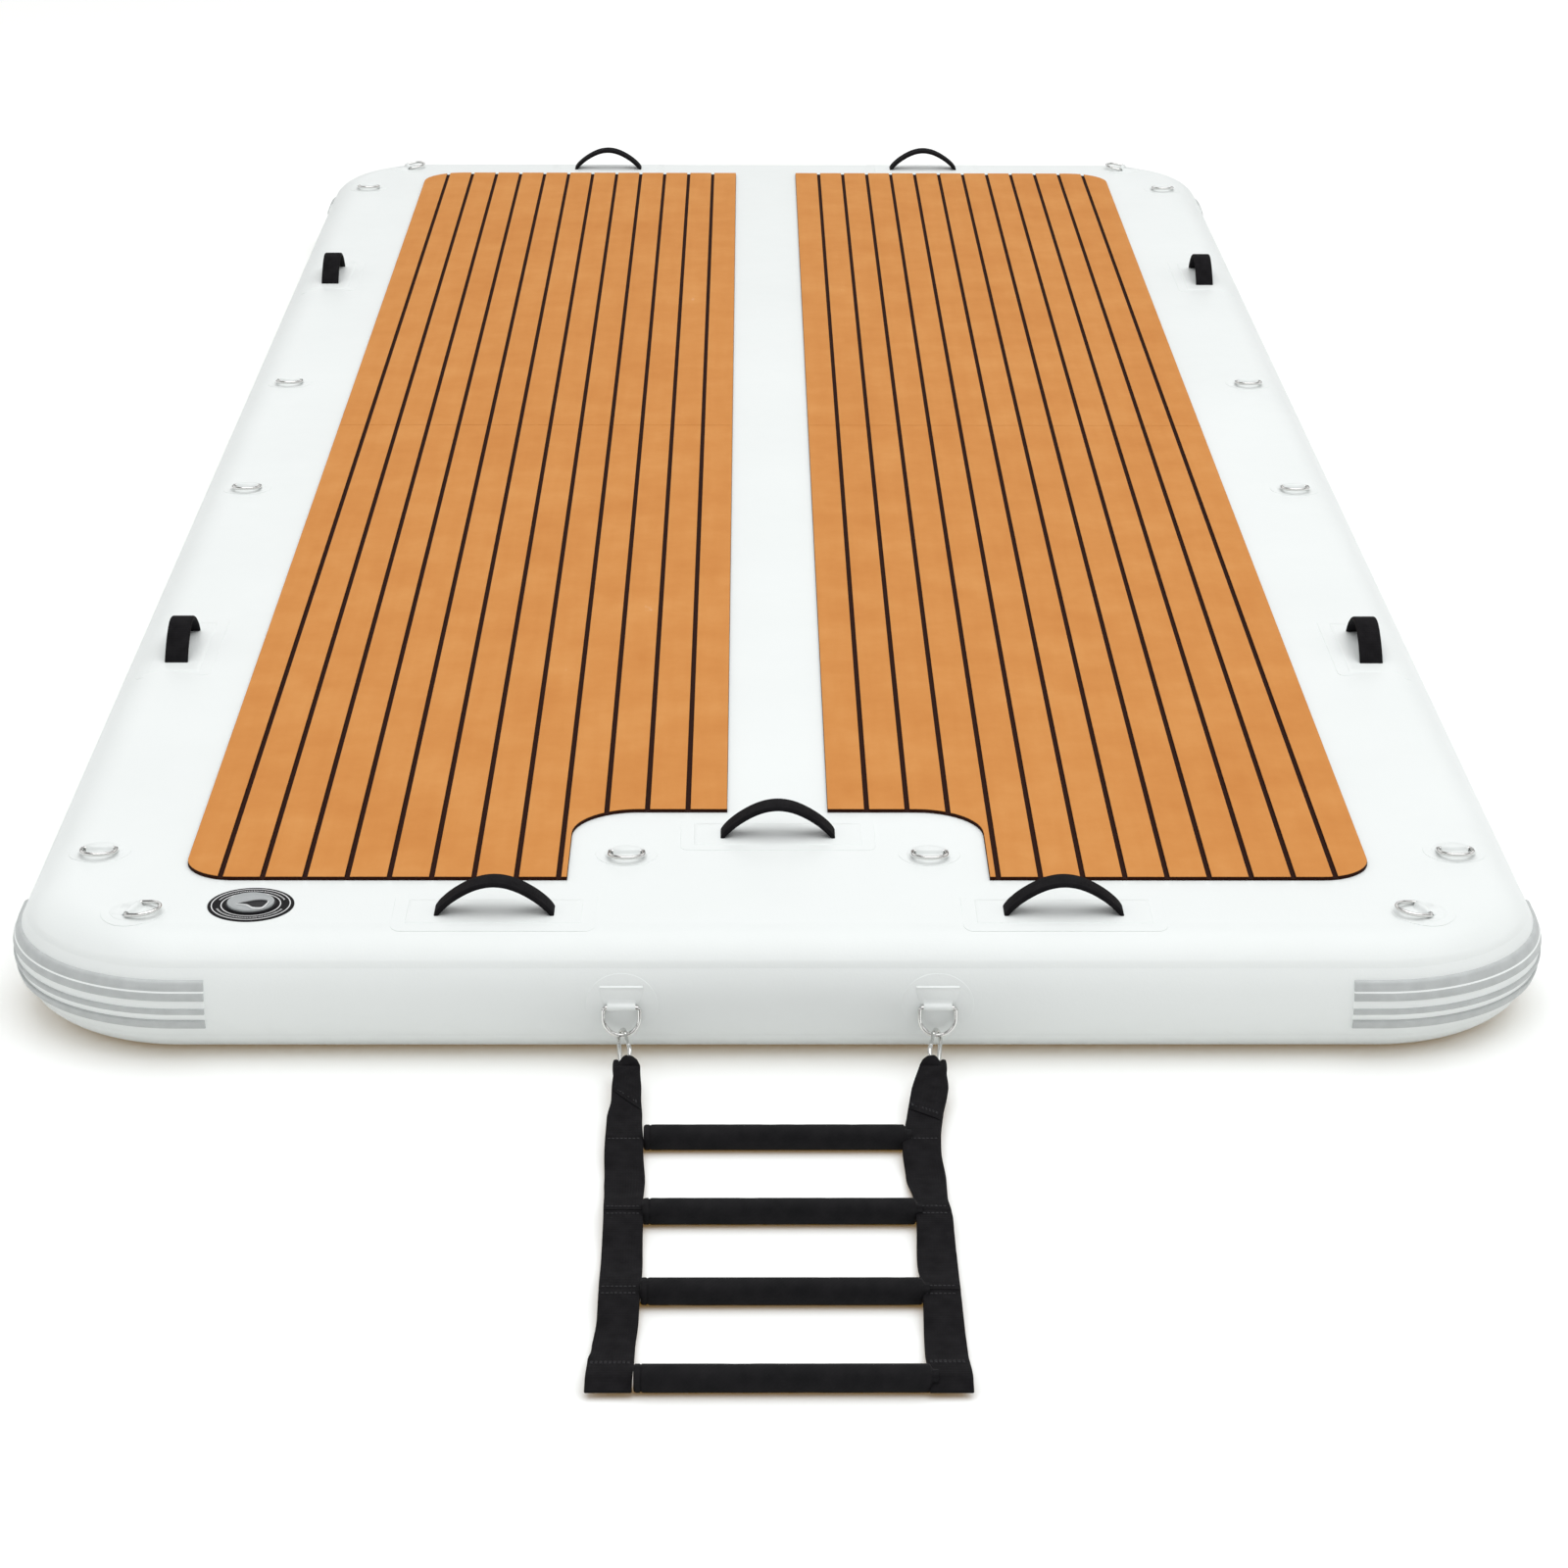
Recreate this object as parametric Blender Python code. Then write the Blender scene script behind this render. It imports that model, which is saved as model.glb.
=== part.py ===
"""Inflatable dock platform with a teak-look deck and a webbing boarding ladder.

Metres, +Z up. The origin is the centre of the flat underside. The ladder lies towards -Y,
and +X is to the right of someone who stands at the ladder and faces the deck.
"""
import math

import bmesh
import bpy
from mathutils import Matrix, Vector

# Platform: drop-stitch core, half-round side wall and two outer skins lapped over the wall
HULL_LENGTH = 4.27
WIDTH = 1.83
THICKNESS = 0.15
CORNER_RADIUS = 0.25
SKIN = 0.0012
SEAT_GAP = 0.0003
LAP_ANGLE = math.radians(55)

# Yarn bundles that hold the two faces of the core apart
YARN_WIDTH = 0.007
YARN_MARGIN = 0.16
YARN_COLUMNS = 5
YARN_ROWS = 9

# Corner strakes: moulded strips with three ribs
STRAKE_HEIGHT = 0.0605
STRAKE_BASE = 0.002
STRAKE_RIB = 0.005
STRAKE_RIB_shares = (-0.62, 0.0, 0.62)
STRAKE_CREST_share = 0.15
STRAKE_FOOT_share = 0.23

# Foam deck pads with plank grooves, two sheets a side butted end to end
PAD_THICKNESS = 0.005
PAD_SIDE_MARGIN = 0.2015
PAD_FRONT_MARGIN = 0.201
PAD_REAR_MARGIN = 0.169
PAD_SEAM_Y = 0.03
PAD_SEAM_GAP = 0.0006
PAD_FRONT_RADIUS = 0.06
PAD_REAR_RADIUS = 0.08
CENTRE_STRIP = 0.125
NOTCH_HALF_WIDTH = 0.253
NOTCH_DEPTH = 0.222
NOTCH_RADIUS = 0.08
OUTER_PLANK = 0.046
INNER_PLANK = 0.049
PLANKS = 13
GROOVE_WIDTH = 0.005
GROOVE_DEPTH = 0.003
CUT_OVERRUN = 0.01

# D-rings on round patches, each bar held by a hood of webbing
RING_WIRE = 0.005
RING_WIDTH = 0.047
RING_DEPTH = 0.0385
RING_CORNER = 0.004
RING_PATCH_RADIUS = 0.038
RING_PATCH = 0.001
HOOD_WIDTH = 0.024
HOOD_WALL = 0.0012
HOOD_FOOT = 0.003
WELD = 0.0004
DECK_RING_TILT = math.radians(8)
LADDER_RING_TILT = math.radians(6)
LADDER_PATCH_RADIUS = 0.043
RAIL_INSET = 0.09
SIDE_RING_END_INSET = 0.295
MID_RING_SPACING = 0.626
CORNER_RING_SIDE_INSET = 0.157
CORNER_RING_END_INSET = 0.105
CORNER_RING_TURN = math.radians(17.5)
STEP_RING_SPACING = 0.368
STEP_RING_INSET = 0.285
LADDER_RING_SPACING = 0.366

# Carrying handles: padded webbing arches on rectangular patches
HANDLE_SPAN = 0.142
HANDLE_HEIGHT = 0.043
HANDLE_WIDTH = 0.032
HANDLE_BAND = 0.005
HANDLE_PATCH_LENGTH = 0.233
HANDLE_PATCH_WIDTH = 0.11
HANDLE_PATCH_RADIUS = 0.02
HANDLE_PATCH = 0.0012
END_HANDLE_SIDE_INSET = 0.581
END_HANDLE_INSET = 0.105
SIDE_HANDLE_SPACING = 2.16
STEP_HANDLE_INSET = 0.349

# Inflation valve in the front left corner
VALVE_SIDE_INSET = 0.293
VALVE_END_INSET = 0.125
LABEL_RADIUS = 0.051
FLANGE_RADIUS = 0.03
FLANGE = 0.003
TUBE_RADIUS = 0.019
TUBE_WALL = 0.003
TUBE_DEPTH = 0.036
SEAT_WIDTH = 0.005
HUB_RADIUS = 0.0065
HUB_HEIGHT = 0.004
HUB_DROP = 0.026
HUB_RIBS = 3
STEM_RADIUS = 0.0027
STEM_CLEARANCE = 0.0003
BUTTON_RADIUS = 0.0075
BUTTON = 0.003
BUTTON_DROP = 0.004
POPPET_OVERLAP = 0.002
POPPET = 0.003
SPRING_RADIUS = 0.0048
SPRING_WIRE = 0.001
SPRING_TURNS = 5
NUT_WIDTH = 0.008
NUT_LUG = 0.0015
NUT = 0.005
NUT_LUGS = 4
LUG_SIDES = 2
CAP_RADIUS = 0.028
CAP_SKIRT = 0.006
CAP_DOME = 0.004
CAP_WALL = 0.002
CAP_CROWN_share = 0.6
GRIP_LENGTH = 0.034
GRIP_WIDTH = 0.004
GRIP_HEIGHT = 0.004

# Spring carabiners between the ladder rings and the ladder's straps
HOOK_WIRE = 0.005
HOOK_NARROW_RADIUS = 0.0075
HOOK_WIDE_RADIUS = 0.0115
HOOK_CENTRES = 0.038
HOOK_PLAY = 0.0013
HOOK_DIP = math.radians(15)
HOOK_YAW = math.radians(8)
HOOK_TWIST = math.radians(28)
GATE_START_share = 0.16
GATE_END_share = 0.86

# Ladder: webbing straps with padded rungs sewn between them
STRAP_SPACING = 0.334
STRAP_WIDTH = 0.043
STRAP = 0.004
STRAP_SAG = 0.008
STRAP_TAIL = 0.015
FOLD_REACH = 0.0075
FOLD_WIDTH = 0.012
FOLD_THICKNESS = 0.012
RUNG_RADIUS = 0.0145
RUNG_COLLAR = 0.012
RUNG_END_share = 0.72
RUNG_PITCH = 0.179
FIRST_RUNG_REACH = 0.218
RUNGS = 4
HINGE_DROP = 0.018
# Reach, width and thickness of the gathered fold, section by section
FOLD_SECTION_shares = ((-1.0, 0.85, 0.6), (-0.7, 1.0, 1.0), (0.0, 1.1, 1.1), (1.0, 1.4, 0.95))
TOP_STRAP_shares = (0.12, 0.3, 0.5, 0.75, 1.0)
TOP_STRAP_SPREAD_share = 0.3

# How finely the round forms are faceted, and which edges stay sharp
CORNER_STEPS = 7
LAP_STEPS = 3
WALL_STEPS = 4
DISC_SIDES = 12
HOOD_STEPS = 4
ARC_STEPS = 5
RING_SIDES = 6
RING_CORNER_STEPS = 2
RING_BOW_STEPS = 6
PATCH_ROW_shares = (0.98, 0.88, 0.68)
ROUND_shares = (0.0, 0.6, 1.0)
HANDLE_STEPS = 8
VALVE_SIDES = 16
SPRING_POINTS = 8
SPRING_SIDES = 4
HOOK_SIDES = 8
HOOK_WIDE_STEPS = 7
HOOK_NARROW_STEPS = 6
GATE_TIP_TURNS = (math.radians(35), math.radians(70))
RUNG_SIDES = 12
SAG_STEPS = 6
STRAP_END_TURNS = (math.radians(75), math.radians(40))
MITRE_LIMIT = math.radians(45)
SHARP_EDGE = math.radians(40)
WIRE_EDGE = math.radians(70)

RAIL = THICKNESS / 2
MID_HEIGHT = THICKNESS / 2
FLAT_X = WIDTH / 2 - RAIL
FLAT_Y = HULL_LENGTH / 2 - RAIL
FLAT_CORNER = CORNER_RADIUS - RAIL
WALL_OUTER = RAIL - SKIN - SEAT_GAP
WALL_INNER = WALL_OUTER - SKIN
LAP_END = math.pi / 2 - LAP_ANGLE
UPPER_LAP = [math.pi / 2 - LAP_ANGLE * k / LAP_STEPS for k in range(LAP_STEPS + 1)]
WALL_MIDDLE = [LAP_END - 2 * LAP_END * k / WALL_STEPS for k in range(1, WALL_STEPS)]
WALL_STATIONS = UPPER_LAP + WALL_MIDDLE + [-e for e in reversed(UPPER_LAP)]
BAR_HEIGHT = RING_WIRE / 2 + SEAT_GAP
PAD_TOP = THICKNESS + SEAT_GAP + PAD_THICKNESS
PAD_OUTER_X = WIDTH / 2 - PAD_SIDE_MARGIN
PAD_INNER_X = CENTRE_STRIP / 2
VALVE_X = -(WIDTH / 2 - VALVE_SIDE_INSET)
VALVE_Y = -(HULL_LENGTH / 2 - VALVE_END_INSET)
VALVE_SEAT = THICKNESS + RING_PATCH + SEAT_GAP
TUBE_BORE = TUBE_RADIUS - TUBE_WALL
TUBE_END = -(RING_PATCH + SEAT_GAP + TUBE_DEPTH)
HUB_TOP = FLANGE - HUB_DROP + HUB_HEIGHT
BUTTON_TOP = FLANGE - BUTTON_DROP
LADDER_START_Y = -HULL_LENGTH / 2
FIRST_RUNG_Y = LADDER_START_Y - FIRST_RUNG_REACH


def clear_scene():
    """Remove whatever the open file holds."""
    for item in list(bpy.data.objects):
        bpy.data.objects.remove(item, do_unlink=True)


def make_material(name, colour, roughness, metallic=0.0):
    """Return a Principled material of one finish."""
    material = bpy.data.materials.new(name)
    material.use_nodes = True
    shader = material.node_tree.nodes["Principled BSDF"]
    shader.inputs["Base Color"].default_value = (*colour, 1.0)
    shader.inputs["Roughness"].default_value = roughness
    shader.inputs["Metallic"].default_value = metallic
    return material


def loft(bm, sections, closed=False, tips=(None, None)):
    """Skin equal closed loops; join last to first, or close each end by a cap or a tip."""
    rings = [[bm.verts.new(point) for point in section] for section in sections]
    pairs = list(zip(rings, rings[1:]))
    if closed:
        pairs.append((rings[-1], rings[0]))
    for low, high in pairs:
        for i, vert in enumerate(low):
            j = (i + 1) % len(low)
            bm.faces.new((vert, low[j], high[j], high[i]))
    for ring, tip in zip((rings[0], rings[-1]), tips):
        if closed:
            continue
        if tip is None:
            bm.faces.new(ring)
            continue
        peak = bm.verts.new(tip)
        for i, vert in enumerate(ring):
            bm.faces.new((vert, ring[(i + 1) % len(ring)], peak))


def finish_mesh(name, bm, sharp_angle=SHARP_EDGE):
    """Turn a bmesh into a smooth-shaded mesh whose faces point out."""
    bmesh.ops.recalc_face_normals(bm, faces=bm.faces)
    mesh = bpy.data.meshes.new(name)
    bm.to_mesh(mesh)
    bm.free()
    mesh.shade_smooth()
    mesh.set_sharp_from_angle(angle=sharp_angle)
    return mesh


def add_part(name, mesh, material, matrix=Matrix(), parent=None):
    """Add one object; under a parent, matrix is its place in the parent's frame."""
    part = bpy.data.objects.new(name, mesh)
    bpy.context.scene.collection.objects.link(part)
    if not mesh.materials:
        mesh.materials.append(material)
    part.parent = parent
    part.matrix_local = matrix
    return part


def add_axis(name, place):
    """Add an empty that marks a joint axis."""
    empty = bpy.data.objects.new(name, None)
    bpy.context.scene.collection.objects.link(empty)
    empty.location = place
    return empty


def add_tool(name, mesh, matrix=Matrix(), parent=None):
    """Add a hidden object that only joins or cuts others."""
    tool = bpy.data.objects.new(name, mesh)
    bpy.context.scene.collection.objects.link(tool)
    tool.parent = parent
    tool.matrix_local = matrix
    tool.hide_render = True
    tool.display_type = "WIRE"
    return tool


def combine(part, operation, tool):
    """Join a part with a tool, or cut it by the tool."""
    modifier = part.modifiers.new(tool.name, "BOOLEAN")
    modifier.operation = operation
    modifier.object = tool


def circle(centre, side, up, radius, count):
    """Return the points of a circle in the plane of two unit vectors."""
    turns = [2 * math.pi * (k + 0.5) / count for k in range(count)]
    return [centre + radius * (side * math.cos(t) + up * math.sin(t)) for t in turns]


def turned(bm, profile, centre, sides, closed=True, tips=(None, None)):
    """Turn (radius, height) points about the vertical through centre."""
    sections = [circle(centre + Vector((0, 0, z)), Vector((1, 0, 0)), Vector((0, 1, 0)), r, sides)
                for r, z in profile]
    loft(bm, sections, closed, tips)


def planar_tube(bm, path, normal, radius, sides, closed):
    """Sweep a round wire along a path that lies in one plane, mitred at each point."""
    sections = []
    for i, point in enumerate(path):
        before = path[i - 1] if closed or i else point
        after = path[(i + 1) % len(path)] if closed or i < len(path) - 1 else point
        tangent = (after - before).normalized()
        arriving = (point - before).normalized() if before != point else tangent
        stretch = 1 / max(abs(arriving.dot(tangent)), math.cos(MITRE_LIMIT))
        sections.append(circle(point, tangent.cross(normal) * stretch, normal, radius, sides))
    loft(bm, sections, closed)


def box(bm, low, high):
    """Add a box between two corners."""
    floor = [Vector((x, y, low[2])) for x, y in
             ((low[0], low[1]), (high[0], low[1]), (high[0], high[1]), (low[0], high[1]))]
    lift = Vector((0, 0, high[2] - low[2]))
    loft(bm, [floor, [point + lift for point in floor]])


def arc(cx, cy, radius, start, end, steps):
    """Return plan points along an arc, angles in degrees."""
    angles = [math.radians(start + (end - start) * k / steps) for k in range(steps + 1)]
    return [(cx + radius * math.cos(a), cy + radius * math.sin(a)) for a in angles]


def corner_centre(quarter):
    """Return the plan centre of a corner's arcs; quarters count from +X +Y, anticlockwise."""
    sign_x = 1 if quarter in (0, 3) else -1
    sign_y = 1 if quarter in (0, 1) else -1
    return Vector((sign_x * (FLAT_X - FLAT_CORNER), sign_y * (FLAT_Y - FLAT_CORNER), 0))


def corner_point(quarter, step, radius, elevation):
    """Return a point of the rail's section at one of a corner's steps."""
    angle = math.pi / 2 * (quarter + step / CORNER_STEPS)
    reach = FLAT_CORNER + radius * math.cos(elevation)
    place = Vector((reach * math.cos(angle), reach * math.sin(angle), 0))
    return corner_centre(quarter) + place + Vector((0, 0, MID_HEIGHT + radius * math.sin(elevation)))


def rail_ring(radius, elevation):
    """Return the loop that runs round the whole platform at one place of the rail's section."""
    return [corner_point(quarter, step, radius, elevation)
            for quarter in range(4) for step in range(CORNER_STEPS + 1)]


def facet_radius(elevation, radius):
    """Return the distance to the rail's facets, whose corners lie at radius."""
    for high, low in zip(WALL_STATIONS, WALL_STATIONS[1:]):
        if low <= elevation <= high:
            return radius * math.cos((high - low) / 2) / math.cos(elevation - (high + low) / 2)
    return radius


def flat_ring(inset, height):
    """Return the outline of the flat faces, drawn in by inset, at a height."""
    return [corner_point(quarter, step, -inset, 0) * Vector((1, 1, 0)) + Vector((0, 0, height))
            for quarter in range(4) for step in range(CORNER_STEPS + 1)]


def flatten(points, height):
    """Put a loop of points at one height."""
    return [Vector((point.x, point.y, height)) for point in points]


def rail_section(past, lift):
    """Return (distance past the flat, height) on the skin's facets, lifted off them."""
    step = LAP_ANGLE / LAP_STEPS
    place = max(past, 0) / (RAIL * step)
    first = min(int(place), LAP_STEPS - 1)
    ends = [Vector(((RAIL + lift) * math.sin(k * step), MID_HEIGHT + (RAIL + lift) * math.cos(k * step)))
            for k in (first, first + 1)]
    point = ends[0].lerp(ends[1], place - first)
    return point.x + min(past, 0), point.y


def fitting_frame(place, curve, normal):
    """Return a frame whose X is a ring's hinge axis, Y its curve's side and Z the normal."""
    axis = curve.cross(normal)
    frame = Matrix((axis, curve, normal)).transposed().to_4x4()
    frame.translation = place
    return frame


def deck_ring_places():
    """Return name and fitting frame of each ring on the deck."""
    up = Vector((0, 0, 1))
    forward = Vector((0, -1, 0))
    side_x = WIDTH / 2 - RAIL_INSET
    end_y = HULL_LENGTH / 2 - SIDE_RING_END_INSET
    rows = (("front", -end_y), ("midfront", -MID_RING_SPACING / 2),
            ("midrear", MID_RING_SPACING / 2), ("rear", end_y))
    places = {}
    for side, sign in (("left", -1), ("right", 1)):
        for row, y in rows:
            places["dring_%s_%s" % (side, row)] = fitting_frame(
                Vector((sign * side_x, y, THICKNESS)), forward, up)
        for end, along in (("front", -1), ("rear", 1)):
            curve = Vector((-sign * math.cos(CORNER_RING_TURN), along * math.sin(CORNER_RING_TURN), 0))
            corner = Vector((sign * (WIDTH / 2 - CORNER_RING_SIDE_INSET),
                             along * (HULL_LENGTH / 2 - CORNER_RING_END_INSET), THICKNESS))
            places["dring_corner_%s_%s" % (end, side)] = fitting_frame(corner, curve, up)
        step_ring = Vector((sign * STEP_RING_SPACING / 2, -(HULL_LENGTH / 2 - STEP_RING_INSET), THICKNESS))
        places["dring_step_%s" % side] = fitting_frame(step_ring, forward, up)
    return places


def ladder_ring_places():
    """Return name and fitting frame of the two rings on the front wall."""
    front_y = -(FLAT_Y + WALL_OUTER + SEAT_GAP)
    return {side: fitting_frame(Vector((sign * LADDER_RING_SPACING / 2, front_y, MID_HEIGHT)),
                                Vector((0, 0, -1)), Vector((0, -1, 0)))
            for side, sign in (("left", -1), ("right", 1))}


def make_core(material):
    """Drop-stitch core: two woven faces held apart by bundles of yarn."""
    bm = bmesh.new()
    top = MID_HEIGHT + WALL_OUTER
    for high in (top, THICKNESS - top + SKIN):
        loft(bm, [flat_ring(SEAT_GAP, high - SKIN), flat_ring(SEAT_GAP, high)])
    core = add_part("drop_stitch_core", finish_mesh("drop_stitch_core", bm), material)
    bm = bmesh.new()
    reach_x = WIDTH / 2 - YARN_MARGIN
    reach_y = HULL_LENGTH / 2 - YARN_MARGIN
    half = YARN_WIDTH / 2
    inside = top - SKIN / 2
    for column in range(YARN_COLUMNS):
        x = reach_x * (2 * column / (YARN_COLUMNS - 1) - 1)
        for row in range(YARN_ROWS):
            y = reach_y * (2 * row / (YARN_ROWS - 1) - 1)
            box(bm, (x - half, y - half, THICKNESS - inside), (x + half, y + half, inside))
    combine(core, "UNION", add_tool("yarn_bundles", finish_mesh("yarn_bundles", bm)))
    hole = bmesh.new()
    radius = TUBE_RADIUS + SEAT_GAP
    turned(hole, [(radius, MID_HEIGHT), (radius, THICKNESS + CUT_OVERRUN)],
           Vector((VALVE_X, VALVE_Y, 0)), VALVE_SIDES, closed=False)
    combine(core, "DIFFERENCE", add_tool("core_valve_hole", finish_mesh("core_valve_hole", hole)))


def make_side_wall(material):
    """Half-round wall strip that closes the edge of the core."""
    bm = bmesh.new()
    outer = [rail_ring(WALL_OUTER, e) for e in WALL_STATIONS]
    inner = [rail_ring(WALL_INNER, e) for e in reversed(WALL_STATIONS)]
    loft(bm, outer + inner, closed=True)
    add_part("side_wall", finish_mesh("side_wall", bm), material)


def skin_mesh(name, sign):
    """Outer skin, flat over the core and lapped over the wall; sign 1 is the upper one."""
    bm = bmesh.new()
    outer = [rail_ring(RAIL, sign * e) for e in UPPER_LAP]
    inner = [rail_ring(RAIL - SKIN, sign * e) for e in reversed(UPPER_LAP)]
    loft(bm, outer + inner)
    return finish_mesh(name, bm)


def ring_hood(bm, frame, sink):
    """Webbing hood that arches over a ring's bar, its feet sunk into the patch."""
    inner = RING_WIRE / 2 + SEAT_GAP
    outer = inner + HOOD_WALL
    foot = RING_PATCH - sink
    bar = RING_PATCH + BAR_HEIGHT
    outside = [(-outer - HOOD_FOOT, foot), (-outer - HOOD_FOOT, RING_PATCH + WELD)]
    outside += arc(0, bar, outer, 180, 0, HOOD_STEPS)
    outside += [(outer + HOOD_FOOT, RING_PATCH + WELD), (outer + HOOD_FOOT, foot)]
    inside = [(inner, foot)] + arc(0, bar, inner, 0, 180, HOOD_STEPS) + [(-inner, foot)]
    loft(bm, [[frame @ Vector((side * HOOD_WIDTH / 2, y, z)) for y, z in outside + inside]
              for side in (-1, 1)])


def make_skins(material):
    """Both outer skins; the upper one carries the deck rings' patches and the valve's label."""
    add_part("bottom_skin", skin_mesh("bottom_skin", -1), material)
    top = add_part("top_skin", skin_mesh("top_skin", 1), material)
    sheet = bmesh.new()
    loft(sheet, [rail_ring(RAIL + RING_PATCH, e) for e in UPPER_LAP]
         + [rail_ring(RAIL - WELD, e) for e in reversed(UPPER_LAP)])
    outlines = bmesh.new()
    hoods = bmesh.new()
    column = [-MID_HEIGHT, CUT_OVERRUN]
    for frame in deck_ring_places().values():
        turned(outlines, [(RING_PATCH_RADIUS, z) for z in column], frame.translation, DISC_SIDES,
               closed=False)
        ring_hood(hoods, frame, WELD)
    valve = Vector((VALVE_X, VALVE_Y, THICKNESS))
    turned(outlines, [(LABEL_RADIUS, z) for z in column], valve, VALVE_SIDES, closed=False)
    patches = add_tool("patch_sheet", finish_mesh("patch_sheet", sheet))
    combine(patches, "INTERSECT", add_tool("patch_outlines", finish_mesh("patch_outlines", outlines)))
    combine(top, "UNION", patches)
    combine(top, "UNION", add_tool("ring_hoods", finish_mesh("ring_hoods", hoods)))
    hole = bmesh.new()
    turned(hole, [(TUBE_RADIUS + SEAT_GAP, -CUT_OVERRUN), (TUBE_RADIUS + SEAT_GAP, CUT_OVERRUN)],
           valve, VALVE_SIDES, closed=False)
    combine(top, "DIFFERENCE", add_tool("skin_valve_hole", finish_mesh("skin_valve_hole", hole)))


def make_strakes(material):
    """Four ribbed rubbing strips, one bent round each corner of the side wall."""
    half = STRAKE_HEIGHT / 2
    crest = half * STRAKE_CREST_share
    foot = half * STRAKE_FOOT_share
    front = [(-half, STRAKE_BASE)]
    for share in STRAKE_RIB_shares:
        middle = share * half
        front += [(middle - foot, STRAKE_BASE), (middle - crest, STRAKE_RIB),
                  (middle + crest, STRAKE_RIB), (middle + foot, STRAKE_BASE)]
    front.append((half, STRAKE_BASE))
    back_radius = WALL_OUTER + SEAT_GAP
    middle_stations = [e for e in WALL_STATIONS if abs(e) < half / back_radius]
    profile = [(facet_radius(s / back_radius, back_radius) + height, s / back_radius)
               for s, height in front]
    profile += [(facet_radius(e, back_radius), e)
                for e in [half / back_radius] + middle_stations + [-half / back_radius]]
    for quarter, name in enumerate(("rear_right", "rear_left", "front_left", "front_right")):
        bm = bmesh.new()
        loft(bm, [[corner_point(quarter, step, radius, elevation) for radius, elevation in profile]
                  for step in range(CORNER_STEPS + 1)])
        add_part("strake_" + name, finish_mesh("strake_" + name, bm), material)


def pad_outline(end, sign):
    """Plan outline of one pad sheet; sign 1 is the right side, -1 the left."""
    front_y = -(HULL_LENGTH / 2 - PAD_FRONT_MARGIN)
    rear_y = HULL_LENGTH / 2 - PAD_REAR_MARGIN
    if end == "rear":
        low = PAD_SEAM_Y + PAD_SEAM_GAP / 2
        r = PAD_REAR_RADIUS
        points = [(PAD_INNER_X, low), (PAD_OUTER_X, low)]
        points += arc(PAD_OUTER_X - r, rear_y - r, r, 0, 90, ARC_STEPS)
        points += [(PAD_INNER_X, rear_y)]
    else:
        high = PAD_SEAM_Y - PAD_SEAM_GAP / 2
        r = PAD_FRONT_RADIUS
        notch_y = front_y + NOTCH_DEPTH
        points = [(PAD_INNER_X, high), (PAD_INNER_X, notch_y)]
        points += arc(NOTCH_HALF_WIDTH - NOTCH_RADIUS, notch_y - NOTCH_RADIUS, NOTCH_RADIUS,
                      90, 0, ARC_STEPS)
        points += [(NOTCH_HALF_WIDTH, front_y)]
        points += arc(PAD_OUTER_X - r, front_y + r, r, -90, 0, ARC_STEPS)
        points += [(PAD_OUTER_X, high)]
    return [Vector((sign * x, y, 0)) for x, y in points]


def make_deck_pads(material):
    """Foam sheets with grooves between their planks."""
    pitch = (PAD_OUTER_X - PAD_INNER_X - OUTER_PLANK - INNER_PLANK) / (PLANKS - 2)
    for side, sign in (("left", -1), ("right", 1)):
        bm = bmesh.new()
        for groove in range(PLANKS - 1):
            x = sign * (PAD_INNER_X + INNER_PLANK + groove * pitch)
            box(bm, (x - GROOVE_WIDTH / 2, -HULL_LENGTH / 2, PAD_TOP - GROOVE_DEPTH),
                (x + GROOVE_WIDTH / 2, HULL_LENGTH / 2, PAD_TOP + CUT_OVERRUN))
        grooves = add_tool("plank_grooves_" + side, finish_mesh("plank_grooves_" + side, bm))
        for end in ("front", "rear"):
            name = "deck_pad_%s_%s" % (end, side)
            outline = pad_outline(end, sign)
            bm = bmesh.new()
            loft(bm, [flatten(outline, THICKNESS + SEAT_GAP), flatten(outline, PAD_TOP)])
            pad = add_part(name, finish_mesh(name, bm), material)
            combine(pad, "DIFFERENCE", grooves)


def dring_mesh():
    """D-ring with its bar along X at the origin and its curve towards +Y."""
    half = (RING_WIDTH - RING_WIRE) / 2
    bow = RING_DEPTH - RING_WIRE - half
    path = arc(-half + RING_CORNER, RING_CORNER, RING_CORNER, 180, 270, RING_CORNER_STEPS)
    path += arc(half - RING_CORNER, RING_CORNER, RING_CORNER, -90, 0, RING_CORNER_STEPS)
    path += arc(0, bow, half, 0, 180, RING_BOW_STEPS)
    bm = bmesh.new()
    planar_tube(bm, [Vector((x, y, 0)) for x, y in path], Vector((0, 0, 1)), RING_WIRE / 2,
                RING_SIDES, closed=True)
    return finish_mesh("d_ring", bm, WIRE_EDGE)


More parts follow.
